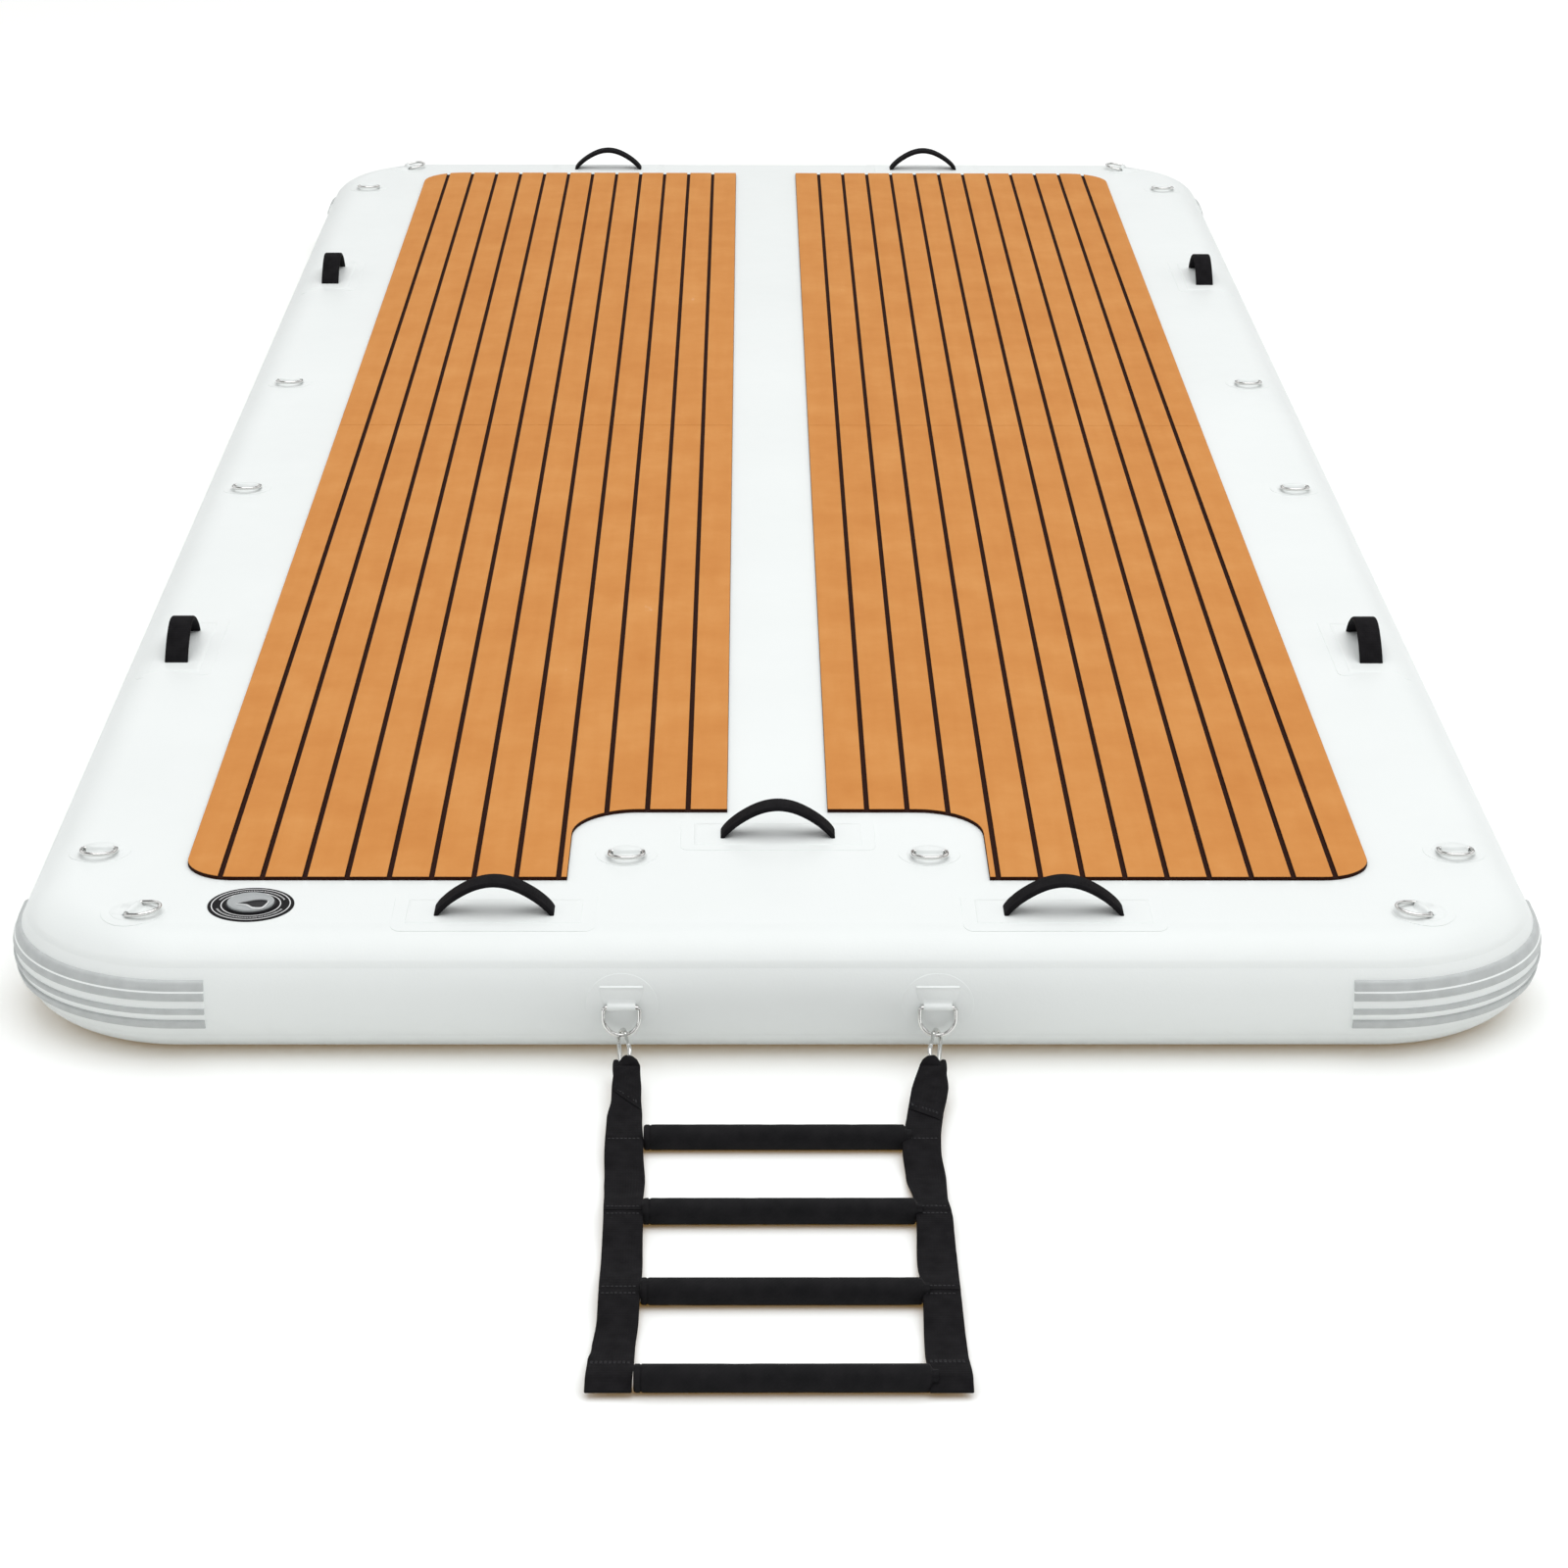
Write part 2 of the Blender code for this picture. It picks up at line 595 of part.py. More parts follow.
def make_drings(steel, patch_material):
    """All sixteen rings, and the two ladder rings' own patches on the front wall."""
    mesh = dring_mesh()
    for name, frame in deck_ring_places().items():
        place = frame @ Matrix.Translation((0, 0, RING_PATCH + BAR_HEIGHT))
        add_part(name, mesh, steel, place @ Matrix.Rotation(DECK_RING_TILT, 4, "X"))
    rows = [e for e in WALL_STATIONS if abs(e) * WALL_OUTER < LADDER_PATCH_RADIUS]
    rows += [sign * share * LADDER_PATCH_RADIUS / WALL_OUTER
             for share in PATCH_ROW_shares for sign in (-1, 1)]
    hood_reach = BAR_HEIGHT + HOOD_WALL + HOOD_FOOT
    wall_sink = hood_reach * math.tan(LAP_END / WALL_STEPS) + WELD / 2
    for side, frame in ladder_ring_places().items():
        place = frame @ Matrix.Translation((0, 0, RING_PATCH + BAR_HEIGHT))
        add_part("dring_ladder_" + side, mesh, steel,
                 place @ Matrix.Rotation(LADDER_RING_TILT, 4, "X"))
        bm = bmesh.new()
        sections = []
        for elevation in sorted(rows):
            height = elevation * WALL_OUTER
            half = math.sqrt(LADDER_PATCH_RADIUS ** 2 - height ** 2)
            low = facet_radius(elevation, WALL_OUTER + SEAT_GAP)
            sections.append([Vector((frame.translation.x + x, -FLAT_Y - r * math.cos(elevation),
                                     MID_HEIGHT + r * math.sin(elevation)))
                             for x, r in ((-half, low), (half, low),
                                          (half, low + RING_PATCH), (-half, low + RING_PATCH))])
        loft(bm, sections)
        name = "ladder_ring_patch_" + side
        patch = add_part(name, finish_mesh(name, bm), patch_material)
        bm = bmesh.new()
        ring_hood(bm, frame, wall_sink)
        combine(patch, "UNION", add_tool(name + "_hood", finish_mesh(name + "_hood", bm)))


def handle_patch_mesh(name, tangent):
    """Patch of a handle, X along the rail and +Y outward; the flat ends at Y = tangent."""
    half_width = HANDLE_PATCH_WIDTH / 2
    half_length = HANDLE_PATCH_LENGTH / 2
    r = HANDLE_PATCH_RADIUS
    step = RAIL * LAP_ANGLE / LAP_STEPS
    rows = [side * (half_width - r + r * share) for share in ROUND_shares for side in (-1, 1)]
    rows += [tangent + k * step for k in range(LAP_STEPS) if tangent + k * step < half_width]
    sections = []
    for y in sorted(rows):
        past_corner = max(abs(y) - (half_width - r), 0)
        reach = half_length - r + math.sqrt(max(r ** 2 - past_corner ** 2, 0))
        section = []
        for side, lift in ((-1, SEAT_GAP), (1, SEAT_GAP), (1, SEAT_GAP + HANDLE_PATCH),
                           (-1, SEAT_GAP + HANDLE_PATCH)):
            past, height = rail_section(y - tangent, lift)
            section.append(Vector((side * reach, tangent + past, height - THICKNESS)))
        sections.append(section)
    bm = bmesh.new()
    loft(bm, sections)
    return finish_mesh(name, bm)


def handle_band_mesh(name):
    """Arched band of a handle, its two feet cut level inside the patch."""
    foot_z = SEAT_GAP + HANDLE_PATCH - WELD
    rise = HANDLE_HEIGHT - HANDLE_BAND / 2 - foot_z
    half_span = HANDLE_SPAN / 2 - HANDLE_BAND
    radius = (half_span ** 2 + rise ** 2) / (2 * rise)
    centre_z = HANDLE_HEIGHT - HANDLE_BAND / 2 - radius
    sections = []
    for k in range(HANDLE_STEPS + 1):
        turn = 2 * k / HANDLE_STEPS - 1
        section = []
        for r, side in ((radius - HANDLE_BAND / 2, -1), (radius + HANDLE_BAND / 2, -1),
                        (radius + HANDLE_BAND / 2, 1), (radius - HANDLE_BAND / 2, 1)):
            angle = turn * math.acos((foot_z - centre_z) / r)
            section.append(Vector((r * math.sin(angle), side * HANDLE_WIDTH / 2,
                                   centre_z + r * math.cos(angle))))
        sections.append(section)
    bm = bmesh.new()
    loft(bm, sections)
    return finish_mesh(name, bm)


def make_handles(material):
    """Nine handles, each a band sewn on a patch that follows the rail where it meets it."""
    end_y = HULL_LENGTH / 2 - END_HANDLE_INSET
    side_x = WIDTH / 2 - RAIL_INSET
    half = WIDTH / 2 - END_HANDLE_SIDE_INSET
    side_half = SIDE_HANDLE_SPACING / 2
    places = (("front_left", -half, -end_y, 180), ("front_right", half, -end_y, 180),
              ("front_centre", 0, -(HULL_LENGTH / 2 - STEP_HANDLE_INSET), 180),
              ("rear_left", -half, end_y, 0), ("rear_right", half, end_y, 0),
              ("left_front", -side_x, -side_half, 90), ("left_rear", -side_x, side_half, 90),
              ("right_front", side_x, -side_half, -90), ("right_rear", side_x, side_half, -90))
    for place, x, y, turn in places:
        name = "handle_" + place
        tangent = min(FLAT_X - abs(x) if turn in (90, -90) else FLAT_Y - abs(y), HANDLE_PATCH_WIDTH)
        matrix = Matrix.Translation((x, y, THICKNESS)) @ Matrix.Rotation(math.radians(turn), 4, "Z")
        handle = add_part(name, handle_patch_mesh(name, tangent), material, matrix)
        combine(handle, "UNION", add_tool(name + "_band", handle_band_mesh(name + "_band"), matrix))


def valve_place():
    """Return the matrix of the valve's seat on its label disc."""
    return Matrix.Translation((VALVE_X, VALVE_Y, VALVE_SEAT))


def make_valve_body(material):
    """Flanged tube through skin and core, with the hub that guides the plunger on three ribs."""
    place = valve_place()
    opening = TUBE_BORE - SEAT_WIDTH
    bm = bmesh.new()
    turned(bm, [(FLANGE_RADIUS, 0), (FLANGE_RADIUS, FLANGE), (TUBE_BORE, FLANGE),
                (TUBE_BORE, TUBE_END + TUBE_WALL), (opening, TUBE_END + TUBE_WALL),
                (opening, TUBE_END), (TUBE_RADIUS, TUBE_END), (TUBE_RADIUS, 0)],
           Vector(), VALVE_SIDES)
    body = add_part("valve_body", finish_mesh("valve_body", bm), material, place)
    bm = bmesh.new()
    hole = STEM_RADIUS + STEM_CLEARANCE
    turned(bm, [(HUB_RADIUS, HUB_TOP - HUB_HEIGHT), (HUB_RADIUS, HUB_TOP), (hole, HUB_TOP),
                (hole, HUB_TOP - HUB_HEIGHT)], Vector(), VALVE_SIDES)
    combine(body, "UNION", add_tool("valve_hub", finish_mesh("valve_hub", bm), place))
    for k in range(HUB_RIBS):
        bm = bmesh.new()
        box(bm, (HUB_RADIUS - TUBE_WALL / 2, -TUBE_WALL / 2, HUB_TOP - HUB_HEIGHT + WELD),
            (TUBE_BORE + TUBE_WALL / 2, TUBE_WALL / 2, HUB_TOP - WELD))
        turn = Matrix.Rotation(2 * math.pi * k / HUB_RIBS, 4, "Z")
        name = "valve_rib_%d" % k
        combine(body, "UNION", add_tool(name, finish_mesh(name, bm), place @ turn))


def nut_ring(radius, lug, height):
    """Return one loop of the nut, with lugs that stand out by lug."""
    points = []
    for k in range(VALVE_SIDES):
        angle = 2 * math.pi * (k + 0.5) / VALVE_SIDES
        reach = radius + (lug if k % (VALVE_SIDES // NUT_LUGS) < LUG_SIDES else 0)
        points.append(Vector((reach * math.cos(angle), reach * math.sin(angle), height)))
    return points


def make_valve_nut(material):
    """Ring nut that clamps the core's upper face to the flange, from inside the platform."""
    inner = TUBE_RADIUS + SEAT_GAP
    outer = inner + NUT_WIDTH
    top = MID_HEIGHT + WALL_OUTER - SKIN - SEAT_GAP - VALVE_SEAT
    bm = bmesh.new()
    loft(bm, [nut_ring(outer, NUT_LUG, top), nut_ring(inner, 0, top),
              nut_ring(inner, 0, top - NUT), nut_ring(outer, NUT_LUG, top - NUT)], closed=True)
    add_part("valve_nut", finish_mesh("valve_nut", bm), material, valve_place())


def make_valve_plunger(material):
    """Poppet under the seat, stem through the hub, and the button that a finger presses."""
    top = TUBE_END - SEAT_GAP
    radius = TUBE_BORE - SEAT_WIDTH + POPPET_OVERLAP
    bm = bmesh.new()
    turned(bm, [(radius, top - POPPET), (radius, top), (STEM_RADIUS, top),
                (STEM_RADIUS, BUTTON_TOP - BUTTON), (BUTTON_RADIUS, BUTTON_TOP - BUTTON),
                (BUTTON_RADIUS, BUTTON_TOP)],
           Vector(), VALVE_SIDES, closed=False)
    add_part("valve_plunger", finish_mesh("valve_plunger", bm), material, valve_place())


def make_valve_spring(material):
    """Coil spring between the hub and the button, which holds the poppet shut."""
    wire = SPRING_WIRE / 2
    low = HUB_TOP + SEAT_GAP + wire
    rise = BUTTON_TOP - BUTTON - SEAT_GAP - wire - low
    count = SPRING_TURNS * SPRING_POINTS
    sections = []
    for k in range(count + 1):
        angle = 2 * math.pi * k / SPRING_POINTS
        radial = Vector((math.cos(angle), math.sin(angle), 0))
        point = radial * SPRING_RADIUS + Vector((0, 0, low + rise * k / count))
        sections.append(circle(point, radial, Vector((0, 0, 1)), wire, SPRING_SIDES))
    bm = bmesh.new()
    loft(bm, sections)
    add_part("valve_spring", finish_mesh("valve_spring", bm), material, valve_place())


def make_valve_cap(material):
    """Low domed cap with a bar to turn it by; it twists on the flange."""
    rim = FLANGE + SEAT_GAP
    top = rim + CAP_SKIRT
    inside = CAP_RADIUS - CAP_WALL
    crown = CAP_RADIUS * CAP_CROWN_share
    bm = bmesh.new()
    turned(bm, [(crown, top + CAP_DOME - CAP_WALL), (inside, top - CAP_WALL), (inside, rim),
                (CAP_RADIUS, rim), (CAP_RADIUS, top), (crown, top + CAP_DOME)],
           Vector(), VALVE_SIDES, closed=False)
    cap = add_part("valve_cap", finish_mesh("valve_cap", bm), material, valve_place())
    bm = bmesh.new()
    box(bm, (-GRIP_LENGTH / 2, -GRIP_WIDTH / 2, top),
        (GRIP_LENGTH / 2, GRIP_WIDTH / 2, top + CAP_DOME + GRIP_HEIGHT))
    combine(cap, "UNION", add_tool("valve_cap_grip", finish_mesh("valve_cap_grip", bm), valve_place()))


def hook_place():
    """Return each ladder ring's lowest wire centre, which the carabiners swing about."""
    reach = RING_DEPTH - RING_WIRE
    return {side: frame @ Vector((0, reach * math.cos(LADDER_RING_TILT),
                                  RING_PATCH + BAR_HEIGHT + reach * math.sin(LADDER_RING_TILT)))
            for side, frame in ladder_ring_places().items()}


def hook_frame(side):
    """Carabiner frame: Y from its narrow end to its wide end, X towards its gate."""
    sign = 1 if side == "left" else -1
    along = Matrix.Rotation(sign * HOOK_YAW, 3, "Z") @ Vector((0, -math.cos(HOOK_DIP), -math.sin(HOOK_DIP)))
    across = Vector((1, 0, 0)) * sign
    across = (across - along * across.dot(along)).normalized()
    upward = across.cross(along) * sign * -1
    gate_side = across * math.sin(HOOK_TWIST) + upward * math.cos(HOOK_TWIST)
    frame = Matrix((gate_side, along, gate_side.cross(along))).transposed().to_4x4()
    ring_y = HOOK_PLAY + (HOOK_WIRE + RING_WIRE) / 2 - HOOK_NARROW_RADIUS
    frame.translation = hook_place()[side] - along * ring_y
    return frame


def hook_leg(share):
    """Return a point on the gate's leg, by its share of the way to the wide end."""
    lean = math.asin((HOOK_WIDE_RADIUS - HOOK_NARROW_RADIUS) / HOOK_CENTRES)
    out = Vector((math.cos(lean), -math.sin(lean), 0))
    start = out * HOOK_NARROW_RADIUS
    end = out * HOOK_WIDE_RADIUS + Vector((0, HOOK_CENTRES, 0))
    return start.lerp(end, share)


def hook_path():
    """Centreline of the carabiner's open body, from its nose round to the gate's pivot."""
    lean = math.degrees(math.asin((HOOK_WIDE_RADIUS - HOOK_NARROW_RADIUS) / HOOK_CENTRES))
    pivot_gap = (HOOK_WIRE / 2 + SEAT_GAP) / (hook_leg(1) - hook_leg(0)).length
    path = [hook_leg(GATE_END_share)]
    path += [Vector((x, y, 0)) for x, y in
             arc(0, HOOK_CENTRES, HOOK_WIDE_RADIUS, -lean, 180 + lean, HOOK_WIDE_STEPS)]
    path += [Vector((x, y, 0)) for x, y in
             arc(0, 0, HOOK_NARROW_RADIUS, 180 + lean, 360 - lean, HOOK_NARROW_STEPS)]
    path.append(hook_leg(GATE_START_share - pivot_gap))
    return path


def hook_mesh(name, radius):
    """Body of a carabiner, or with a larger radius the room that it takes up."""
    bm = bmesh.new()
    planar_tube(bm, hook_path(), Vector((0, 0, 1)), radius, HOOK_SIDES, closed=False)
    return finish_mesh(name, bm, WIRE_EDGE)


def gate_mesh():
    """Gate of a carabiner, with its round pivot end at the origin."""
    start = hook_leg(GATE_START_share)
    end = hook_leg(GATE_END_share)
    along = (end - start).normalized()
    side = Vector((0, 0, 1))
    radius = HOOK_WIRE / 2
    length = (end - start).length - SEAT_GAP
    across = along.cross(side)
    sections = [circle(-along * radius * math.cos(t), side, across, radius * math.sin(t), HOOK_SIDES)
                for t in GATE_TIP_TURNS]
    sections += [circle(along * place, side, across, radius, HOOK_SIDES) for place in (0, length)]
    bm = bmesh.new()
    loft(bm, sections, tips=(-along * radius, None))
    return finish_mesh("gate", bm, WIRE_EDGE)


def strap_section(centre, tangent, roll, width, thickness):
    """Cross-section of a flat strap, its width along X where roll is zero."""
    side = Vector((1, 0, 0))
    side = (side - tangent * side.dot(tangent)).normalized()
    up = side.cross(tangent)
    across = side * math.cos(roll) + up * math.sin(roll)
    through = up * math.cos(roll) - side * math.sin(roll)
    return [centre + across * u * width / 2 + through * v * thickness / 2
            for u, v in ((-1, -1), (1, -1), (1, 1), (-1, 1))]


def ease(share):
    """Return a share that starts and ends without a kink."""
    return share * share * (3 - 2 * share)


def top_strap_mesh(name, side, origin):
    """First strap length, from its fold in the carabiner down past the first rung."""
    sign = -1 if side == "left" else 1
    frame = hook_frame(side)
    along = frame.col[1].to_3d()
    wire_y = HOOK_CENTRES + HOOK_WIDE_RADIUS
    roll = sign * (math.pi / 2 - HOOK_TWIST)
    sections = []
    for reach_share, width_share, thickness_share in FOLD_SECTION_shares:
        centre = frame @ Vector((0, wire_y + reach_share * FOLD_REACH, 0))
        width = width_share * FOLD_WIDTH
        thickness = thickness_share * FOLD_THICKNESS
        sections.append(strap_section(centre, along, roll, width, thickness))
    start = centre
    end_y = FIRST_RUNG_Y - HINGE_DROP + STRAP / 2 + SEAT_GAP
    rest = Vector((sign * STRAP_SPACING / 2, end_y, RUNG_RADIUS))
    for share in TOP_STRAP_shares:
        place = Vector((start.x + (rest.x - start.x) * ease(share), start.y + (rest.y - start.y) * share,
                        start.z + (rest.z - start.z) * (1 - (1 - share) ** 2)))
        spread = min(share / TOP_STRAP_SPREAD_share, 1)
        sections.append(strap_section(place, Vector((0, -1, 0)), roll * (1 - spread),
                                      width + (STRAP_WIDTH - width) * spread,
                                      thickness + (STRAP - thickness) * spread))
    bm = bmesh.new()
    loft(bm, [[point - origin for point in section] for section in sections])
    return finish_mesh(name, bm)


def strap_mesh(name, side, start_y, end_y, origin):
    """Strap length below a fold: a round end on the fold's axis, then a shallow sag."""
    x = (-1 if side == "left" else 1) * STRAP_SPACING / 2
    down = Vector((0, -1, 0))
    sections = []
    for turn in STRAP_END_TURNS:
        centre = Vector((x, start_y + STRAP / 2 * math.sin(turn), RUNG_RADIUS))
        sections.append(strap_section(centre, down, 0, STRAP_WIDTH, STRAP * math.cos(turn)))
    for k in range(SAG_STEPS + 1):
        share = k / SAG_STEPS
        sag = STRAP_SAG * math.sin(math.pi * share) ** 2
        centre = Vector((x, start_y + (end_y - start_y) * share, RUNG_RADIUS - sag))
        sections.append(strap_section(centre, down, 0, STRAP_WIDTH, STRAP))
    bm = bmesh.new()
    loft(bm, [[point - origin for point in section] for section in sections])
    return finish_mesh(name, bm)


def rung_mesh():
    """Padded rung along X, drawn in to a collar where each end is sewn to a strap."""
    half = (STRAP_SPACING - STRAP_WIDTH) / 2 - SEAT_GAP
    end = RUNG_RADIUS * RUNG_END_share
    profile = [(-half, end), (-half + RUNG_COLLAR, RUNG_RADIUS), (half - RUNG_COLLAR, RUNG_RADIUS),
               (half, end)]
    bm = bmesh.new()
    loft(bm, [circle(Vector((x, 0, 0)), Vector((0, 1, 0)), Vector((0, 0, 1)), r, RUNG_SIDES)
              for x, r in profile])
    return finish_mesh("rung", bm)


def make_ladder(webbing, foam, steel):
    """Two carabiners with gates, then four lengths of ladder, each hinged under a rung."""
    swing = add_axis("ladder_swing_axis", (hook_place()["left"] + hook_place()["right"]) / 2)
    bpy.context.view_layer.update()
    back = Matrix.Translation(swing.location).inverted()
    body = hook_mesh("carabiner", HOOK_WIRE / 2)
    room = hook_mesh("carabiner_room", HOOK_WIRE / 2 + SEAT_GAP)
    gate = gate_mesh()
    rung = rung_mesh()
    for side in ("left", "right"):
        frame = hook_frame(side)
        add_part("carabiner_" + side, body, steel, back @ frame, swing)
        pivot = frame @ Matrix.Translation(hook_leg(GATE_START_share))
        add_part("gate_" + side, gate, steel, back @ pivot, swing)
        name = "strap_1_" + side
        strap = add_part(name, top_strap_mesh(name, side, swing.location), webbing, Matrix(), swing)
        combine(strap, "DIFFERENCE", add_tool("carabiner_room_" + side, room, back @ frame, swing))
    first = Vector((0, FIRST_RUNG_Y, RUNG_RADIUS))
    add_part("rung_1", rung, foam, Matrix.Translation(first - swing.location), swing)
    for number in range(2, RUNGS + 1):
        fold_y = FIRST_RUNG_Y - (number - 2) * RUNG_PITCH - HINGE_DROP
        fold = add_axis("ladder_fold_axis_%d" % (number - 1), Vector((0, fold_y, RUNG_RADIUS)))
        rung_y = FIRST_RUNG_Y - (number - 1) * RUNG_PITCH
        end_y = rung_y - (HINGE_DROP - STRAP / 2 - SEAT_GAP if number < RUNGS else STRAP_TAIL)
        for side in ("left", "right"):
            name = "strap_%d_%s" % (number, side)
            mesh = strap_mesh(name, side, fold_y, end_y, fold.location)
            add_part(name, mesh, webbing, Matrix(), fold)
        centre = Vector((0, rung_y, RUNG_RADIUS))
        add_part("rung_%d" % number, rung, foam, Matrix.Translation(centre - fold.location), fold)


clear_scene()
WHITE_PVC = make_material("white_pvc", (0.86, 0.89, 0.88), 0.4)
CORE_FABRIC = make_material("core_fabric", (0.75, 0.76, 0.74), 0.8)
GREY_STRAKE = make_material("grey_strake_pvc", (0.45, 0.48, 0.48), 0.5)
TEAK_FOAM = make_material("teak_foam", (0.66, 0.28, 0.08), 0.75)
BLACK_WEBBING = make_material("black_webbing", (0.015, 0.015, 0.017), 0.85)
BLACK_FOAM = make_material("black_padded_sleeve", (0.018, 0.018, 0.02), 0.8)
GREY_PLASTIC = make_material("grey_valve_plastic", (0.42, 0.44, 0.44), 0.45)
DARK_PLASTIC = make_material("dark_valve_plastic", (0.08, 0.08, 0.085), 0.5)
STAINLESS = make_material("stainless_steel", (0.62, 0.61, 0.58), 0.22, 1.0)

make_core(CORE_FABRIC)
make_side_wall(WHITE_PVC)
make_skins(WHITE_PVC)
make_strakes(GREY_STRAKE)
make_deck_pads(TEAK_FOAM)
make_drings(STAINLESS, WHITE_PVC)
make_handles(BLACK_WEBBING)
make_valve_body(GREY_PLASTIC)
make_valve_nut(DARK_PLASTIC)
make_valve_plunger(DARK_PLASTIC)
make_valve_spring(STAINLESS)
make_valve_cap(GREY_PLASTIC)
make_ladder(BLACK_WEBBING, BLACK_FOAM, STAINLESS)
bpy.context.view_layer.update()
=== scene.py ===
"""Looks of an inflatable dock platform with a teak-look deck and a webbing boarding ladder.

Metres, +Z up. The ladder lies towards -Y, and +X is to the right of someone who faces the deck
from the ladder.
"""
import math
import random

import bmesh
import bpy
from mathutils import Matrix, Vector, noise


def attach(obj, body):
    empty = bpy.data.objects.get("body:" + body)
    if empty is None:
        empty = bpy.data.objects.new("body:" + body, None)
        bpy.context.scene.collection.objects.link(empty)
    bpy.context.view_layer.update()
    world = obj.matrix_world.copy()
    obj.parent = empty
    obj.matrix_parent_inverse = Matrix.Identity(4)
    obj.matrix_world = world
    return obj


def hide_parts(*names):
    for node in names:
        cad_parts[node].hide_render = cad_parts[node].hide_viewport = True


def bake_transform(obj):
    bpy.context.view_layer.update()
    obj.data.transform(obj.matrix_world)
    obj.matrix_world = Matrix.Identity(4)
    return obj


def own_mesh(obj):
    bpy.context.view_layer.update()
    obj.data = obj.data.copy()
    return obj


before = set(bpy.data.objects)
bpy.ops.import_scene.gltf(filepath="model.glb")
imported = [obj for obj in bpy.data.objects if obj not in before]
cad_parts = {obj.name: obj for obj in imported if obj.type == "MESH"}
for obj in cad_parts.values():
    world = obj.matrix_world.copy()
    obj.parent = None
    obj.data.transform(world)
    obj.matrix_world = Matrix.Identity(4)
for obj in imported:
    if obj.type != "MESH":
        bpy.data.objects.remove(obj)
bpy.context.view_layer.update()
scene = bpy.context.scene


# The drop-stitch core is two polyester cloths held 150 mm apart by thousands of yarns, which
# keep the dock flat when it is blown up hard. It is closed in by the skins, so each bundle
# of strands here stands for the yarns around it.
MID_HEIGHT = 0.075
FLAT_X, FLAT_Y = 0.84, 2.06
FLAT_CORNER = 0.14
QUARTERS = ((1, 1), (-1, 1), (-1, -1), (1, -1))
ACROSS, AHEAD, UP = Vector((1, 0, 0)), Vector((0, 1, 0)), Vector((0, 0, 1))
CORE_CLOTH = 0.0012
CORE_TOP = 0.1482
BUNDLE_PLACES_X = (-0.755, -0.3775, 0.0, 0.3775, 0.755)
BUNDLE_ROWS = 9
BUNDLE_REACH = 1.975
BUNDLE_RADIUS = 0.0036
BUNDLE_WAIST = 0.6
BUNDLE_STEPS, BUNDLE_SIDES = 8, 6


def linear(colour):
    """Turn an sRGB hex colour into the linear values that a shader takes."""
    shares = [int(colour[k:k + 2], 16) / 255 for k in (1, 3, 5)]
    return [s / 12.92 if s <= 0.04045 else ((s + 0.055) / 1.055) ** 2.4 for s in shares] + [1.0]


def add_node(owner, kind, inputs=(), ramp=(), **settings):
    """Add a shader node with its settings; an input is a plain value or another node's output."""
    node = owner.node_tree.nodes.new(kind)
    for name, value in settings.items():
        setattr(node, name, value)
    for name, value in dict(inputs).items():
        if isinstance(value, bpy.types.NodeSocket):
            owner.node_tree.links.new(value, node.inputs[name])
        else:
            node.inputs[name].default_value = value
    if ramp:
        stops = node.color_ramp.elements
        for place, colour in ramp[1:-1]:
            stops.new(place)
        for stop, (place, colour) in zip(stops, ramp):
            stop.position = place
            stop.color = linear(colour)
    return node


def new_material(name, **inputs):
    """Start a material; its shader's own sockets take the plain values."""
    material = bpy.data.materials.new(name)
    material.use_nodes = True
    shader = material.node_tree.nodes["Principled BSDF"]
    for key, value in inputs.items():
        shader.inputs[key.replace("_", " ")].default_value = value
    return material


def join(material, output, socket):
    """Link a node's output to one of the sockets of the material's shader."""
    material.node_tree.links.new(output, material.node_tree.nodes["Principled BSDF"].inputs[socket])


def own_place(material):
    """Place on a piece, in metres from its own origin."""
    return add_node(material, "ShaderNodeTexCoord").outputs["Object"]


def mottle(material, scale, detail=2.0, **inputs):
    """Noise over a finish: cells to the metre, or to the piece's length without a Vector."""
    cells = add_node(material, "ShaderNodeTexNoise", {"Scale": scale, "Detail": detail, **inputs})
    return cells.outputs["Fac"]


def tone(material, pattern, *ramp):
    """Shade a finish by a pattern."""
    tint = add_node(material, "ShaderNodeValToRGB", {"Fac": pattern}, ramp=ramp)
    join(material, tint.outputs["Color"], "Base Color")


def relief(material, pattern, distance, **inputs):
    """Raise a finish by a pattern, and return its normals for a finer relief on top."""
    bump = add_node(material, "ShaderNodeBump", {"Height": pattern, "Distance": distance, **inputs})
    join(material, bump.outputs["Normal"], "Normal")
    return bump.outputs["Normal"]


def grained(name, scale, depth=0.0, detail=2.0, placed=False, tints=(), **inputs):
    """Start a material with one fine grain, which raises it and, where it has tints, shades it."""
    material = new_material(name, **inputs)
    grain = mottle(material, scale, detail, **({"Vector": own_place(material)} if placed else {}))
    if tints:
        tone(material, grain, *tints)
    if depth:
        relief(material, grain, depth)
    return material


